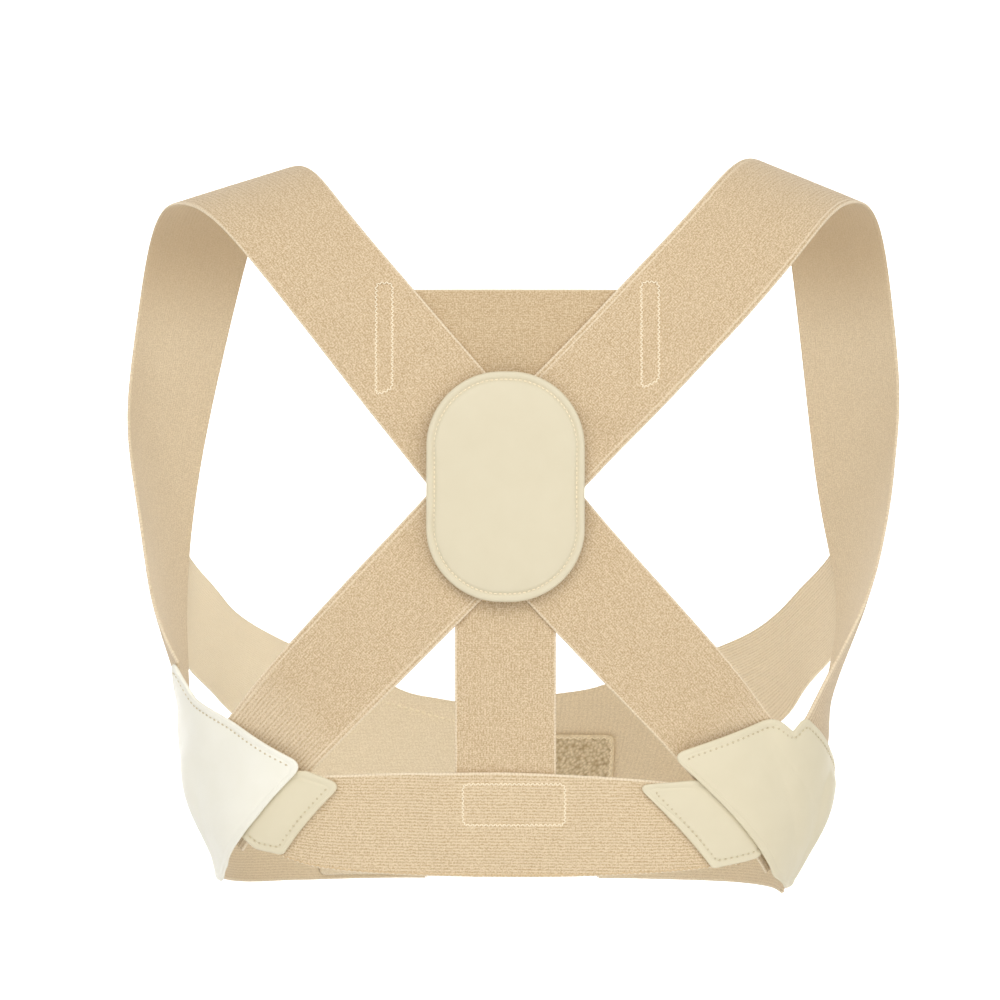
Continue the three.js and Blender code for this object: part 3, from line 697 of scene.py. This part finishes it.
# %% [markdown]
# ## Materials
#
# Elastic webbing is rubber threads wrapped in yarn, so fine cords run along it and the yarn gives a
# grain across them. Both are waves in the UV map, broken up with noise. A selvage is lighter,
# because its yarn is packed closer. Leather gets a fine grain and a soft shine. A small class lets
# these be written as formulas.

# %% Signals for materials


class Signal:
    """One output of a node. Signals and numbers combine with plain operators."""

    def __init__(self, tree, socket):
        self.tree, self.socket = tree, socket

    def make(self, kind, output=0, settings=None, **inputs):
        """Any other node. Inputs are named as on the node, with spaces as underscores, or by number
        as in_3."""
        node = self.tree.nodes.new(kind)
        for key, value in (settings or {}).items():
            setattr(node, key, value)
        for key, value in inputs.items():
            name = int(key[3:]) if key.startswith("in_") else key.replace("_", " ")
            if isinstance(value, Signal):
                self.tree.links.new(value.socket, node.inputs[name])
            else:
                node.inputs[name].default_value = value
        return Signal(self.tree, node.outputs[output])

    def calculate(self, operation, first, second=0.0):
        """A Math node."""
        return self.make("ShaderNodeMath", settings={"operation": operation}, in_0=first, in_1=second)

    def __add__(self, other):
        return self.calculate("ADD", self, other)

    def __sub__(self, other):
        return self.calculate("SUBTRACT", self, other)

    def __rsub__(self, other):
        return self.calculate("SUBTRACT", other, self)

    def __mul__(self, other):
        return self.calculate("MULTIPLY", self, other)

    __radd__ = __add__
    __rmul__ = __mul__

    def part(self, axis):
        """One of the three numbers of a vector."""
        return self.make("ShaderNodeSeparateXYZ", axis, Vector=self)

    def wave(self, length):
        """A wave from 0 to 1 that repeats at each length, in millimetres."""
        return self.calculate("SINE", self * (2 * math.pi / (length * MM))) * 0.5 + 0.5

    def between(self, low, high):
        """A smooth step from 0 at low to 1 at high."""
        return self.make("ShaderNodeMapRange", settings={"interpolation_type": "SMOOTHSTEP"},
                         Value=self, From_Min=low, From_Max=high, To_Min=0.0, To_Max=1.0)

    def below(self, level, soft=0.25):
        """1 under a level and 0 over it, with a soft step from one to the other."""
        return 1 - self.between(level - soft, level + soft)

    def mix(self, low, high):
        """The colour low where the signal is 0 and high where it is 1."""
        return self.make("ShaderNodeMix", 2, {"data_type": "RGBA"}, in_0=self, in_6=low, in_7=high)

    def cloth_map(self):
        """The UV map, in metres along and across the cloth."""
        return self.make("ShaderNodeUVMap", settings={"uv_map": "cloth"})

    def attribute(self, name):
        """A value that the mesh carries at each point."""
        return self.make("ShaderNodeAttribute", 2, {"attribute_name": name})

    def grain(self, size, detail):
        """Noise in the places of a vector, with grains of a size in millimetres."""
        return self.make("ShaderNodeTexNoise", Vector=self, Scale=1 / (size * MM), Detail=detail,
                         Roughness=0.6)

    def feed(self, socket):
        """Links the signal to a socket of the shader."""
        self.tree.links.new(self.socket, socket)


# %% [markdown]
# ## Webbing, leather, hook tape and thread
#
# An image of cloth would repeat and blur, so each finish is a formula on the UV map instead. The
# brace has tan straps and belts, paler chest bands and panels, and two shades of leather. On the
# left the leather, the chest webbing and the panel knit carry painted light, and the right panel
# knit carries painted shade.

# %% Webbing, leather, hook tape and thread


def colour(red, green, blue):
    """A colour as read off a screen, from 0 to 255, in Blender's linear light."""
    channels = (value / 255 for value in (red, green, blue))
    return (*((c / 12.92 if c < 0.04045 else ((c + 0.055) / 1.055) ** 2.4) for c in channels), 1.0)


def new_material(name, roughness):
    """A new material, its shader, and a first signal that makes its other nodes."""
    material = bpy.data.materials.new(name)
    material.use_nodes = True
    shader = material.node_tree.nodes["Principled BSDF"]
    shader.inputs["Roughness"].default_value = roughness
    return material, shader, Signal(material.node_tree, None)


def raise_surface(shader, height, strength, distance):
    """Bumps the surface by a height signal, up to a distance in millimetres."""
    bump = height.make("ShaderNodeBump", Height=height, Strength=strength, Distance=distance * MM)
    bump.feed(shader.inputs["Normal"])


# Grains are a size in millimetres and a detail. The shade under the shoulder is between two heights.
fine_grain, coarse_grain, broad_grain, leather_grain = (0.75, 3.0), (2.2, 2.0), (11, 1.0), (14, 2.0)
cord_wander, pick_wander, rib_wander = 0.7 * MM, 0.9 * MM, 0.5 * MM
rib_pitch, bead_pitch = 1.9, 1.7
selvage_width, second_selvage = 0.9, (2.1, 2.9)
shoulder_shade = 70 * MM, 125 * MM
pebbles_a_metre, hooks_a_metre = 1400.0, 640.0
inside_yarn = colour(244, 231, 203)


def webbing_material(name, light, dark, selvage, cord=1.3, pick=0.9, cord_depth=0.5, yarn_share=0.15,
                     ribs=0.4, inside_ribs=0.4, second_line=0.0, inside_share=0.4, painted_shade_share=0.0):
    """Elastic webbing. cord is the distance between its cords, pick that between its cross threads.
    The selvage is a beaded light line, and some webbing has a second line beside it. Under the
    shoulder the inside gets a painted shade, darker where the arch keeps the light off it, by the
    share given last."""
    material, shader, nodes = new_material(name, 0.9)
    uv = nodes.cloth_map()
    along, across = uv.part("X"), uv.part("Y")
    up = nodes.make("ShaderNodeTexCoord", "Object").part("Z")
    edge, inside, ribbed = (nodes.attribute(key) for key in ("edge", "inside", "ribbed"))
    fine, coarse, broad = uv.grain(*fine_grain), uv.grain(*coarse_grain), uv.grain(*broad_grain)
    cords = (across + (coarse - 0.5) * cord_wander).wave(cord)
    picks = (along + (fine - 0.5) * pick_wander).wave(pick)
    yarn = cords * cord_depth + picks * (1 - cord_depth)
    # The yarn's grain, stretched to the full range from dark to light.
    speckle = (yarn * yarn_share + fine * 1.6 + coarse * 0.4 - 0.65).between(0.17, 0.73)
    cloth = (speckle * 0.85 + broad * 0.15).mix(dark, light)
    cloth = (inside * inside_share).mix(cloth, inside_yarn)
    # Painted shade: under the shoulder the inside is darkened towards the dark yarn colour, where the arch
    # keeps the light off it.
    cloth = (inside * up.between(*shoulder_shade) * painted_shade_share).mix(cloth, dark)
    stripes = (across + (coarse - 0.5) * rib_wander).wave(rib_pitch) * ribbed * ribs
    cloth = (stripes * (1 - inside * (1 - inside_ribs))).mix(cloth, selvage)
    border = edge.below(selvage_width)
    inner_line = edge.below(second_selvage[1]) * (1 - edge.below(second_selvage[0])) * second_line
    lines = (border * 0.7 + inner_line) * (along.wave(bead_pitch) * 0.45 + 0.6) * (1 - inside)
    lines.mix(cloth, selvage).feed(shader.inputs["Base Color"])
    shader.inputs["Sheen Weight"].default_value = 0.1
    height = yarn * 0.35 + fine * 0.9 + coarse * 0.4 + stripes * 0.9 + border * 0.4
    raise_surface(shader, height, 0.75, 0.3)
    return material


def leather_material(name, light, dark, gloss):
    """Smooth pale leather with a fine pebble and a raised, cut edge."""
    material, shader, nodes = new_material(name, gloss)
    uv = nodes.cloth_map()
    pebble = uv.make("ShaderNodeTexVoronoi", 0, {"feature": "SMOOTH_F1"}, Vector=uv, Scale=pebbles_a_metre)
    broad = uv.grain(*leather_grain)
    (broad * 0.7 + 0.15).mix(dark, light).feed(shader.inputs["Base Color"])
    (0.12 * pebble + (gloss - 0.05)).feed(shader.inputs["Roughness"])
    rim = nodes.attribute("edge").below(1.1, 0.3)
    raise_surface(shader, pebble * 0.3 + broad * 0.6 + rim * 0.5, 0.25, 0.3)
    return material


def hook_material(name, light, dark):
    """Hook tape, which is a field of small stiff hooks inside a plain border."""
    material, shader, nodes = new_material(name, 0.95)
    dots = nodes.make("ShaderNodeTexVoronoi", 0, Vector=nodes.cloth_map(), Scale=hooks_a_metre)
    border = nodes.attribute("edge").below(2.2, 0.3) * 0.6
    border.mix((dots * 1.2 - 0.1).mix(light, dark), light).feed(shader.inputs["Base Color"])
    raise_surface(shader, (1 - dots) * (1 - border), 0.9, 0.8)
    return material


def plain_material(name, base, roughness):
    """One colour all over, for threads and the floor."""
    material, shader, _ = new_material(name, roughness)
    shader.inputs["Base Color"].default_value = base
    return material


tan_yarn, tan_shade, tan_edge = (226, 205, 172), (180, 152, 113), (240, 224, 196)

LOOKS = {}
for name, light, dark, selvage, weave in (
    ("webbing", tan_yarn, tan_shade, tan_edge, {"painted_shade_share": 0.55}),
    ("right strap webbing", tan_yarn, tan_shade, tan_edge, {"second_line": 0.5, "painted_shade_share": 0.55}),
    ("back band webbing", (218, 196, 161), (176, 148, 109), (224, 203, 170), {"cord": 1.1}),
    ("belt webbing", (226, 206, 173), (182, 154, 114), (242, 227, 200),
     {"cord": 1.45, "cord_depth": 0.85, "yarn_share": 0.3}),
    # Painted light: the left chest band is lighter than the right one, and its inside nearly white, for the
    # strong light falling on it.
    ("left chest webbing", (236, 222, 196), (198, 178, 146), (242, 234, 218),
     {"ribs": 0.3, "inside_share": 0.85}),
    ("right chest webbing", (232, 213, 181), (192, 165, 126), (244, 229, 202),
     {"ribs": 0.7, "inside_ribs": 1.0}),
    # The two panel knits differ in weave. Their tones differ partly by painted light on the left one and
    # painted shade on the right one.
    ("left panel knit", (236, 221, 193), (196, 174, 139), (244, 232, 208), {"cord": 1.8, "pick": 1.8}),
    ("right panel knit", (222, 200, 165), (178, 152, 114), (230, 211, 180),
     {"cord": 1.5, "pick": 2.4, "cord_depth": 0.3}),
):
    LOOKS[name] = webbing_material(name, colour(*light), colour(*dark), colour(*selvage), **weave)
for name, light, dark, gloss in (
    ("leather", (223, 213, 185), (215, 204, 174), 0.5),
    ("pad leather", (216, 206, 179), (209, 198, 169), 0.5),
    # Painted light: a whiter copy of the leather for the left side patch, for the strong light falling on it.
    ("pale leather", (241, 238, 226), (234, 230, 213), 0.45),
):
    LOOKS[name] = leather_material(name, colour(*light), colour(*dark), gloss)
LOOKS["hook tape"] = hook_material("hook tape", colour(232, 214, 180), colour(172, 150, 114))
for name, base, roughness in (
    ("cream thread", (244, 230, 200), 0.7),
    ("seam thread", (212, 198, 164), 0.8),
    ("box thread", (246, 232, 204), 0.8),
    ("tan thread", (214, 188, 146), 0.7),
    # Painted shade: the dark colour of the needle holes between stitches.
    ("stitch hole shade", (146, 130, 100), 0.9),
):
    LOOKS[name] = plain_material(name, colour(*base), roughness)
print(f"{len(LOOKS)} looks: {', '.join(LOOKS)}")

# %% [markdown]
# ## Straps, belts and bands
#
# The shoulder straps are one long webbing each. Between the back and the front they leave the chest
# table and arch over the shoulder. Each line of the strap follows its own cubic curve, from the top
# of the back, over the crest and down to the front. Where the curves meet the chest the bend is
# spread out, most of all along the edge next to the neck, as taut webbing would do.

# %% Straps, belts and bands

# Rows in each half of the arch, and how far up from the back its crest is.
arch_steps, crest_row = 36, 34
# How many rows a bend is spread over, and how many times, at the joints and further down the front.
joint_reach, joint_times = 13, 90
front_row, front_reach, front_times = 12, 30, 500
# How far the ribs come in from the ends of the straps and of the right chest band.
end_ribs, chest_ribs = 86, 200


def clothed(piece, look):
    """Gives a finished piece its look, and hides the CAD part that it stands for."""
    piece.data.materials.append(LOOKS[look])
    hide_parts(piece.name.replace("-", "_"))


def cubic(start, leave, end, arrive, t):
    """A cubic from start to end that leaves and arrives in given directions."""
    length = np.linalg.norm(end - start, axis=-1, keepdims=True) * arch_fullness
    return (start * (2 * t ** 3 - 3 * t ** 2 + 1) + leave * length * (t ** 3 - 2 * t ** 2 + t)
            + end * (3 * t ** 2 - 2 * t ** 3) + arrive * length * (t ** 3 - t ** 2))


def unit(vectors):
    """The same directions, each one long."""
    return vectors / np.linalg.norm(vectors, axis=-1, keepdims=True)


def eased(rows, joint, reach, times, columns=1):
    """Spreads the bends of the rows near a joint over their neighbours, by a quarter of each bend at
    a time. columns says how much of this each line along the strap gets."""
    near = np.exp(-((np.arange(len(rows)) - joint) / reach) ** 2)[1:-1, None, None]
    share = near * np.reshape(columns, (1, -1, 1))
    for _ in range(times):
        rows[1:-1] += (rows[:-2] + rows[2:] - 2 * rows[1:-1]) / 4 * share


def shoulder_strap(name, side, crest, rise, fall_layer):
    """The rise, the arch and the fall of a shoulder strap in one mesh."""
    up, up_normals = rise.place(rise.flat["places"])
    down, down_normals = fall_layer.place(fall_layer.flat["places"])
    last_across, first_across = rise.flat["across"][-1], fall_layer.flat["across"][0]
    share = (last_across / last_across.max() + 1)[:, None] / 2
    scale = np.array([side * chest_half_width, chest_depth, shoulder_rise])
    crest_line = (np.array(crest["arm"]) * (1 - share) + np.array(crest["neck"]) * share) * scale
    turn = math.radians(crest["heading"])
    over = np.array([side * math.sin(turn), math.cos(turn), 0])
    climb, drop = unit(up[-1] - up[-5]), unit(down[4] - down[0])
    steps = np.linspace(0, 1, arch_steps)
    arch = np.array([cubic(up[-1], climb, crest_line, over, t) for t in steps[1:]]
                    + [cubic(crest_line, over, down[0], drop, t) for t in steps[1:-1]])
    padded = np.concatenate([up[-1:], arch, down[:1]])
    arch_normals = unit(np.cross(padded[2:] - padded[:-2], np.gradient(arch, axis=1))) * side
    weight = np.linspace(0, 1, len(arch))[:, None]
    arch_across = last_across * (1 - weight) + first_across * weight
    across = np.concatenate([rise.flat["across"], arch_across, fall_layer.flat["across"]])
    points = np.concatenate([up, arch, down])
    normals = np.concatenate([up_normals, arch_normals, down_normals])
    taut = 0.2 + 0.8 * np.linspace(0, 1, points.shape[1]) ** 1.5
    back, front = len(up), len(up) + len(arch)
    for rows in (points, normals):
        eased(rows, back, joint_reach, joint_times)
        eased(rows, front, joint_reach, joint_times)
        eased(rows, front + front_row, front_reach, front_times, taut)
    return webbing_mesh(name, points, unit(normals), across, end_ribs, back + crest_row)


sheets = []
for name, rise, look in (("left", rise_left, "webbing"), ("right", rise_right, "right strap webbing")):
    piece, length = shoulder_strap(f"shoulder strap {name}", SIDES[name], CRESTS[name], rise, fall[name])
    clothed(piece, look)
    sheets.append((piece, (shoulder_webbing, length), ["back_pad", f"side_patch_{name}"]))

for name, layer, look, width, holder, ribs in (
    ("upper back band", upper_band, "back band webbing", belt_webbing, "shoulder_strap_left", 0),
    ("spine strap", spine_strap, "webbing", spine_webbing, "back_belt", 0),
    ("back belt", belt, "belt webbing", belt_webbing, "belt_tab_left", 0),
    ("chest band left", chest_band["left"], "left chest webbing", chest_webbing, "shoulder_strap_left", 0),
    ("chest band right", chest_band["right"], "right chest webbing", chest_webbing, "shoulder_strap_right",
     chest_ribs),
    ("front belt left", front_belt["left"], "belt webbing", belt_webbing, "side_patch_left", 0),
    ("front belt right", front_belt["right"], "belt webbing", belt_webbing, "side_patch_right", 0),
):
    points, normals = layer.place(layer.flat["places"])
    piece, length = webbing_mesh(name, points, normals, layer.flat["across"], ribs)
    clothed(piece, look)
    sheets.append((piece, (width, length), [holder]))

# %% [markdown]
# ## Leather, closure panels and hook tape
#
# These are cut from sheet goods with a knife, so they are outlines filled in. Leather lies over the
# webbing's ends and shows their shape a little. The pad is stuffed and stays level over the
# crossing, with a rim where its two leathers are sewn together.

# %% Leather, closure panels and hook tape

leather_groove, pad_groove, pad_bulge = 0.25, 0.9, 1.7

cut_pieces = []
for name in SIDES:
    # The left patch takes the copy of the leather with painted light.
    patch_leather = "pale leather" if name == "left" else "leather"
    cut_pieces += [
        (f"side patch {name}", patch[name], patch_leather, "leather", f"shoulder_strap_{name}"),
        (f"belt tab {name}", tab[name], "leather", "leather", "back_belt"),
    ]
cut_pieces += [
    ("closure panel left", panel_left, "left panel knit", "panel", "front_belt_left"),
    ("closure panel right", panel_right, "right panel knit", "panel", "front_belt_right"),
    ("hook patch", hook, "hook tape", "hook", "closure_panel_right"),
]
for name, layer, look, slot_name, holder in cut_pieces:
    piece, span, area = cut_mesh(name, layer, leather_groove if slot_name == "leather" else 0.0)
    clothed(piece, look)
    sheets.append((piece, tuple(span), [holder], area))


class PadLayer(Layer):
    """The pad keeps level, so its lift is the same all over."""

    def lift(self, along, z):
        return np.full(np.shape(along), pad_lift)


corner = pad_roundness * pad_width / 2
angles = np.linspace(0, math.pi / 2, 24, endpoint=False)
pad_outline = even_path(np.concatenate([
    np.stack([x * (pad_width / 2 - corner) + corner * np.cos(angles + turn),
              z * (pad_height / 2 - corner) + corner * np.sin(angles + turn)], axis=1)
    for x, z, turn in ((1, 1, 0), (-1, 1, math.pi / 2), (-1, -1, math.pi), (1, -1, 1.5 * math.pi))
]), 1.6)
under_pad = np.concatenate([pad_outline * share for share in (0, 0.3, 0.6, 0.8, 1)])
pad_lift = rise_right.lift(under_pad[:, 0], under_pad[:, 1]).max() + webbing_wall + seam_gap
pad = PadLayer({"outline": pad_outline, "side": 1}, pad_wall)
pad_piece, *_ = cut_mesh("back pad", pad, pad_groove, pad_bulge)
clothed(pad_piece, "pad leather")

# %% [markdown]
# ## Stitches
#
# Each stitch is a short rounded thread that dips at both ends. A row of them follows a path at a
# constant distance inside an edge. On leather the shade in the needle holes is painted as small
# dark dots between them. A zigzag row swings from side to side.

# %% Stitches


def inset_path(outline, inset, pitch):
    """An outline moved inwards by an inset, in even steps."""
    ahead = np.roll(outline, -1, axis=0) - np.roll(outline, 1, axis=0)
    normal = unit(np.stack([-ahead[:, 1], ahead[:, 0]], axis=1))
    area = (outline[:, 0] * np.roll(outline[:, 1], -1) - outline[:, 1] * np.roll(outline[:, 0], -1)).sum()
    moved = outline + normal * inset * np.sign(area)
    gap = np.linalg.norm(moved[:, None] - outline[None], axis=2).min(axis=1)
    return even_path(moved[gap > 0.93 * inset], pitch)


def thread_template(sides=6, rings=7):
    """A thread along x from -1 to 1 and one thick, with its side faces and its two caps. Its radius
    tapers and its middle dips with the fourth power of x."""
    x = np.linspace(-1, 1, rings)[:, None]
    angle = np.linspace(0, 2 * math.pi, sides, endpoint=False)
    radius = np.sqrt(1 - 0.92 * x ** 4)
    points = np.stack([x + 0 * angle, radius * np.cos(angle), radius * np.sin(angle) - 0.9 * x ** 4], axis=-1)
    caps = np.array([np.arange(sides)[::-1], np.arange(sides) + (rings - 1) * sides])
    return points.reshape(-1, 3), ring_quads(0, rings - 1, sides), caps


def stitches(name, layer, path, look, length=2.2, thick=0.28, zigzag=0.0, out=0.05, face=1, closed=True):
    """A row of stitches on a layer's outer face, or on its inner one with face -1."""
    after = np.roll(path, -1, axis=0) if closed else np.concatenate([path[1:], 2 * path[-1:] - path[-2:-1]])
    ahead = after - path
    swing = np.where(np.arange(len(path)) % 2 == 0, 1, -1)[:, None]
    sideways = unit(np.stack([-ahead[:, 1], ahead[:, 0]], axis=1)) * zigzag
    level = layer.wall + out if face > 0 else -out
    start, normals = layer.place(path + sideways * swing, level)
    end, _ = layer.place(path + ahead - sideways * swing, level)
    normals = normals * face
    x_axis = unit(end - start)
    y_axis = unit(np.cross(normals, x_axis))
    half = np.full(len(path), length / 2) if zigzag == 0 else np.linalg.norm(end - start, axis=1) / 2
    template, quads, caps = thread_template()
    points = ((start + end)[:, None] / 2 + template[None, :, :1] * half[:, None, None] * x_axis[:, None]
              + template[None, :, 1:2] * thick * y_axis[:, None]
              + template[None, :, 2:] * thick * normals[:, None])
    first = np.arange(len(path))[:, None, None] * len(template)
    faces = (quads + first).reshape(-1, 4).tolist() + (caps + first).reshape(-1, caps.shape[1]).tolist()
    piece = add_mesh(name, points.reshape(-1, 3), faces)
    piece.data.materials.append(LOOKS[look])
    print(f"{name}: {len(path)} stitches")
    return piece


def hole_shades(name, layer, path, radius, out=0.03):
    """Painted shade in the needle holes between stitches: small dark discs of eight corners on a layer's
    outer face.
    """
    angle = np.linspace(0, 2 * math.pi, 9)[:-1]
    disc = np.stack([np.cos(angle), np.sin(angle)], axis=1) * radius
    points, _ = layer.place(path[:, None] + disc[None], layer.wall + out)
    piece = add_mesh(name, points.reshape(-1, 3), np.arange(8 * len(path)).reshape(-1, 8).tolist())
    piece.data.materials.append(LOOKS["stitch hole shade"])
    return piece


def open_path(path, kept):
    """The part of a closed path that is kept, as an open path in order."""
    start = int(np.flatnonzero(~kept)[-1]) + 1 if not kept.all() else 0
    return np.roll(path, -start, axis=0)[np.roll(kept, -start)]


# %% [markdown]
# ## Which seams show
#
# The leather is sewn down along its back edges only, the pad, the panels and the hook tape all
# round, and the belts along their lower edge. Both straps and the belt carry a zigzag box, whose
# corners are given by x and height. One seam on the left panel is given by where it shows in the
# photograph and is traced back from the camera, because nothing else says where it is.

# %% Which seams show

pixel_at_pad, camera_back, camera_x, camera_z = 0.46, 1250, -2.53, -5.98
picture_middle = 500
trims = defaultdict(list)

# The corners along the sewn edges, and how near to those edges the stitches are kept.
patch_seam, tab_seam = {"left": (3, 2, 1, 0), "right": (5, 4, 3, 2, 1, 0)}, (1, 2, 3)
seam_reach = 5.2
for name, side in SIDES.items():
    for part, layer, corners, sewn in (
        (f"side patch {name}", patch[name], SIDE_PATCHES[name], patch_seam[name]),
        (f"belt tab {name}", tab[name], BELT_TABS[name], tab_seam),
    ):
        z = corners["up"][list(sewn)] * hem_drop
        along = girth_share(side, corners["round"][list(sewn)], z)
        seam = even_path(np.stack([along, z], axis=1), 1.0, closed=False)
        path = inset_path(layer.flat["outline"], stitch_inset, pitch=2.9)
        path = open_path(path, np.linalg.norm(path[:, None] - seam[None], axis=2).min(axis=1) < seam_reach)
        trims[part.replace(" ", "-")] += [
            stitches(f"{part} stitches", layer, path, "seam thread", length=1.7, thick=0.26, closed=False),
            hole_shades(f"{part} holes", layer, (path[:-1] + path[1:]) / 2, radius=0.42),
        ]
pad_path = inset_path(pad_outline, stitch_inset, pitch=2.2)
stitches("back pad stitches", pad, pad_path, "cream thread", length=1.5, thick=0.3, out=-0.55)
hole_shades("back pad holes", pad, (pad_path + np.roll(pad_path, -1, axis=0)) / 2, radius=0.38, out=-0.6)
path = inset_path(hook.flat["outline"], inset=1.8, pitch=1.6)
trims["hook-patch"].append(
    stitches("hook patch stitches", hook, path, "cream thread", zigzag=0.7, thick=0.2, face=-1))


def places_at(layer, corners):
    """The places of a layer on the back that have a wanted x at a wanted height."""
    tried = np.linspace(-110, 110, 441)
    found = []
    for x, z in corners:
        points, _ = layer.place(np.stack([tried, np.full(len(tried), z)], axis=1), layer.wall)
        found.append((np.interp(x, points[:, 0], tried), z))
    return np.array(found)


for key, layer, corners in (
    ("shoulder-strap-left", rise_left, ((-59.5, 93.5), (-52, 93.5), (-52, 45), (-59.5, 42))),
    ("shoulder-strap-right", rise_right, ((62.5, 94), (70.5, 94), (70.5, 49), (62.5, 45))),
    ("back-belt", belt, ((-19.6, -136.5), (27.4, -136.5), (27.4, -155.5), (-19.6, -155.5))),
):
    path = even_path(rounded_outline(places_at(layer, corners), 2.5, 0.5), 1.05)
    trims[key].append(stitches(f"{key} box stitches", layer, path, "box thread", zigzag=0.65))


def seen_at(layer, spots, rounds=12):
    """The places of a front layer's body side that the camera sees at spots of the photograph. From
    a first guess, each round moves the place by most of how far it misses."""
    spots = np.array(spots, float)
    places = np.tile(layer.flat["outline"].mean(axis=0), (len(spots), 1))
    for _ in range(rounds):
        points, _ = layer.place(places)
        scale = pixel_at_pad * (1 + points[:, 1] / camera_back)
        miss_x = (spots[:, 0] - picture_middle) * scale + camera_x - points[:, 0]
        miss_z = (picture_middle - spots[:, 1]) * scale + camera_z - points[:, 2]
        places = places + np.stack([-miss_x, miss_z], axis=1) * 0.7
    return places


panel_seam = seen_at(panel_left, [(384, 702), (408, 708), (432, 715), (458, 722)])
path = even_path(panel_seam, 3.4, closed=False)
trims["closure-panel-left"].append(
    stitches("closure panel seam", panel_left, path, "cream thread", length=2.8, thick=0.5, face=-1,
             closed=False))
for key, layer, row, end in (
    ("chest-band-left", chest_band["left"], 2, "upper"),
    ("chest-band-left", chest_band["left"], -3, "lower"),
    ("chest-band-right", chest_band["right"], 2, "upper"),
    ("front-belt-left", front_belt["left"], -3, "front"),
):
    path = even_path(layer.flat["places"][row, 3:-3], 1.3, closed=False)
    trims[key].append(
        stitches(f"{key} {end} end stitches", layer, path, "cream thread", zigzag=0.9, closed=False))
for name, layer in (("left", panel_left), ("right", panel_right)):
    path = inset_path(layer.flat["outline"], inset=3.0, pitch=1.7)
    trims[f"closure-panel-{name}"].append(
        stitches(f"closure panel {name} border stitches", layer, path, "cream thread", length=1.3,
                 thick=0.24))
for key, layer in (("back-belt", belt), ("front-belt-left", front_belt["left"]),
                   ("front-belt-right", front_belt["right"])):
    path = even_path(layer.flat["places"][:, 3], 1.3, closed=False)
    trims[key].append(
        stitches(f"{key} edge stitches", layer, path, "tan thread", zigzag=0.6, thick=0.25, closed=False))

# %% [markdown]
# ## Floor, light and camera
#
# The photograph has a white ground. A pale floor curves up behind the brace into a wall, and two
# lights of its own keep that white. Two large soft lights on the brace keep its shadows faint. The
# camera stands level with the pad, straight behind the wearer. Lights are placed in metres.

# %% Floor, light and camera

scene = bpy.context.scene
scene.view_settings.view_transform = "Standard"

floor_level, floor_front, half_floor = -420, -4000, 5000
wall_back, wall_top, curve_radius = 3400, 3200, 700
bend = np.linspace(0, math.pi / 2, 24)
profile = [(floor_front, floor_level),
           *zip(wall_back - curve_radius + curve_radius * np.sin(bend),
                floor_level + curve_radius - curve_radius * np.cos(bend)),
           (wall_back, wall_top)]
floor_points = np.array([(x, y, z) for y, z in profile for x in (-half_floor, half_floor)], float)
floor_mesh = bpy.data.meshes.new("floor")
floor_mesh.from_pydata((floor_points * MM).tolist(), [],
                       [[2 * k, 2 * k + 1, 2 * k + 3, 2 * k + 2] for k in range(len(profile) - 1)])
floor_mesh.polygons.foreach_set("use_smooth", np.ones(len(floor_mesh.polygons), bool))
floor_mesh.materials.append(plain_material("floor", colour(252, 252, 252), 1.0))
floor = bpy.data.objects.new("floor", floor_mesh)
scene.collection.objects.link(floor)

sky_strength = 0.65
world = bpy.data.worlds.new("studio")
world.use_nodes = True
world.node_tree.nodes["Background"].inputs["Color"].default_value = (1, 1, 1, 1)
world.node_tree.nodes["Background"].inputs["Strength"].default_value = sky_strength
scene.world = world

brace = (0, 0.05, 0)
for name, place, aim, size, power in (
    ("key", (-0.5, -1.7, 1.3), brace, 1.5, 19.5),
    ("fill", (1.1, -1.7, 0.6), brace, 1.5, 9),
    ("ground left", (-1.6, 1.9, 0.4), (-0.2, 3.2, -0.35), 1.2, 42),
    ("ground right", (1.6, 1.9, 0.4), (0.2, 3.2, -0.35), 1.2, 42),
):
    lamp = bpy.data.lights.new(name, "AREA")
    lamp.size, lamp.energy = size, power
    light = bpy.data.objects.new(name, lamp)
    light.location = place
    light.rotation_euler = (Vector(aim) - Vector(place)).to_track_quat("-Z", "Y").to_euler()
    scene.collection.objects.link(light)

camera_data = bpy.data.cameras.new("camera")
camera_data.lens = 97.8  # a sensor of 36 mm sees 460 mm at the pad from here
camera = bpy.data.objects.new("camera", camera_data)
camera.location = (camera_x * MM, -camera_back * MM, camera_z * MM)
camera.rotation_euler = (math.pi / 2, 0, 0)
scene.collection.objects.link(camera)
scene.camera = camera
print(f"camera {camera_back} mm behind the pad, with a lens of {camera_data.lens:.1f} mm")

# %% [markdown]
# ## The cut size of each piece
#
# For every piece of cloth or leather, the size that it was cut to is worked out in metres, with its
# area where that is less than its span. They are not used further.

# %% The cut size of each piece

for piece, flat, rests_on, *area in sheets:
    extra = {"area": area[0] * MM * MM} if area and area[0] < 0.98 * flat[0] * flat[1] else {}
    flat[0] * MM
    flat[1] * MM
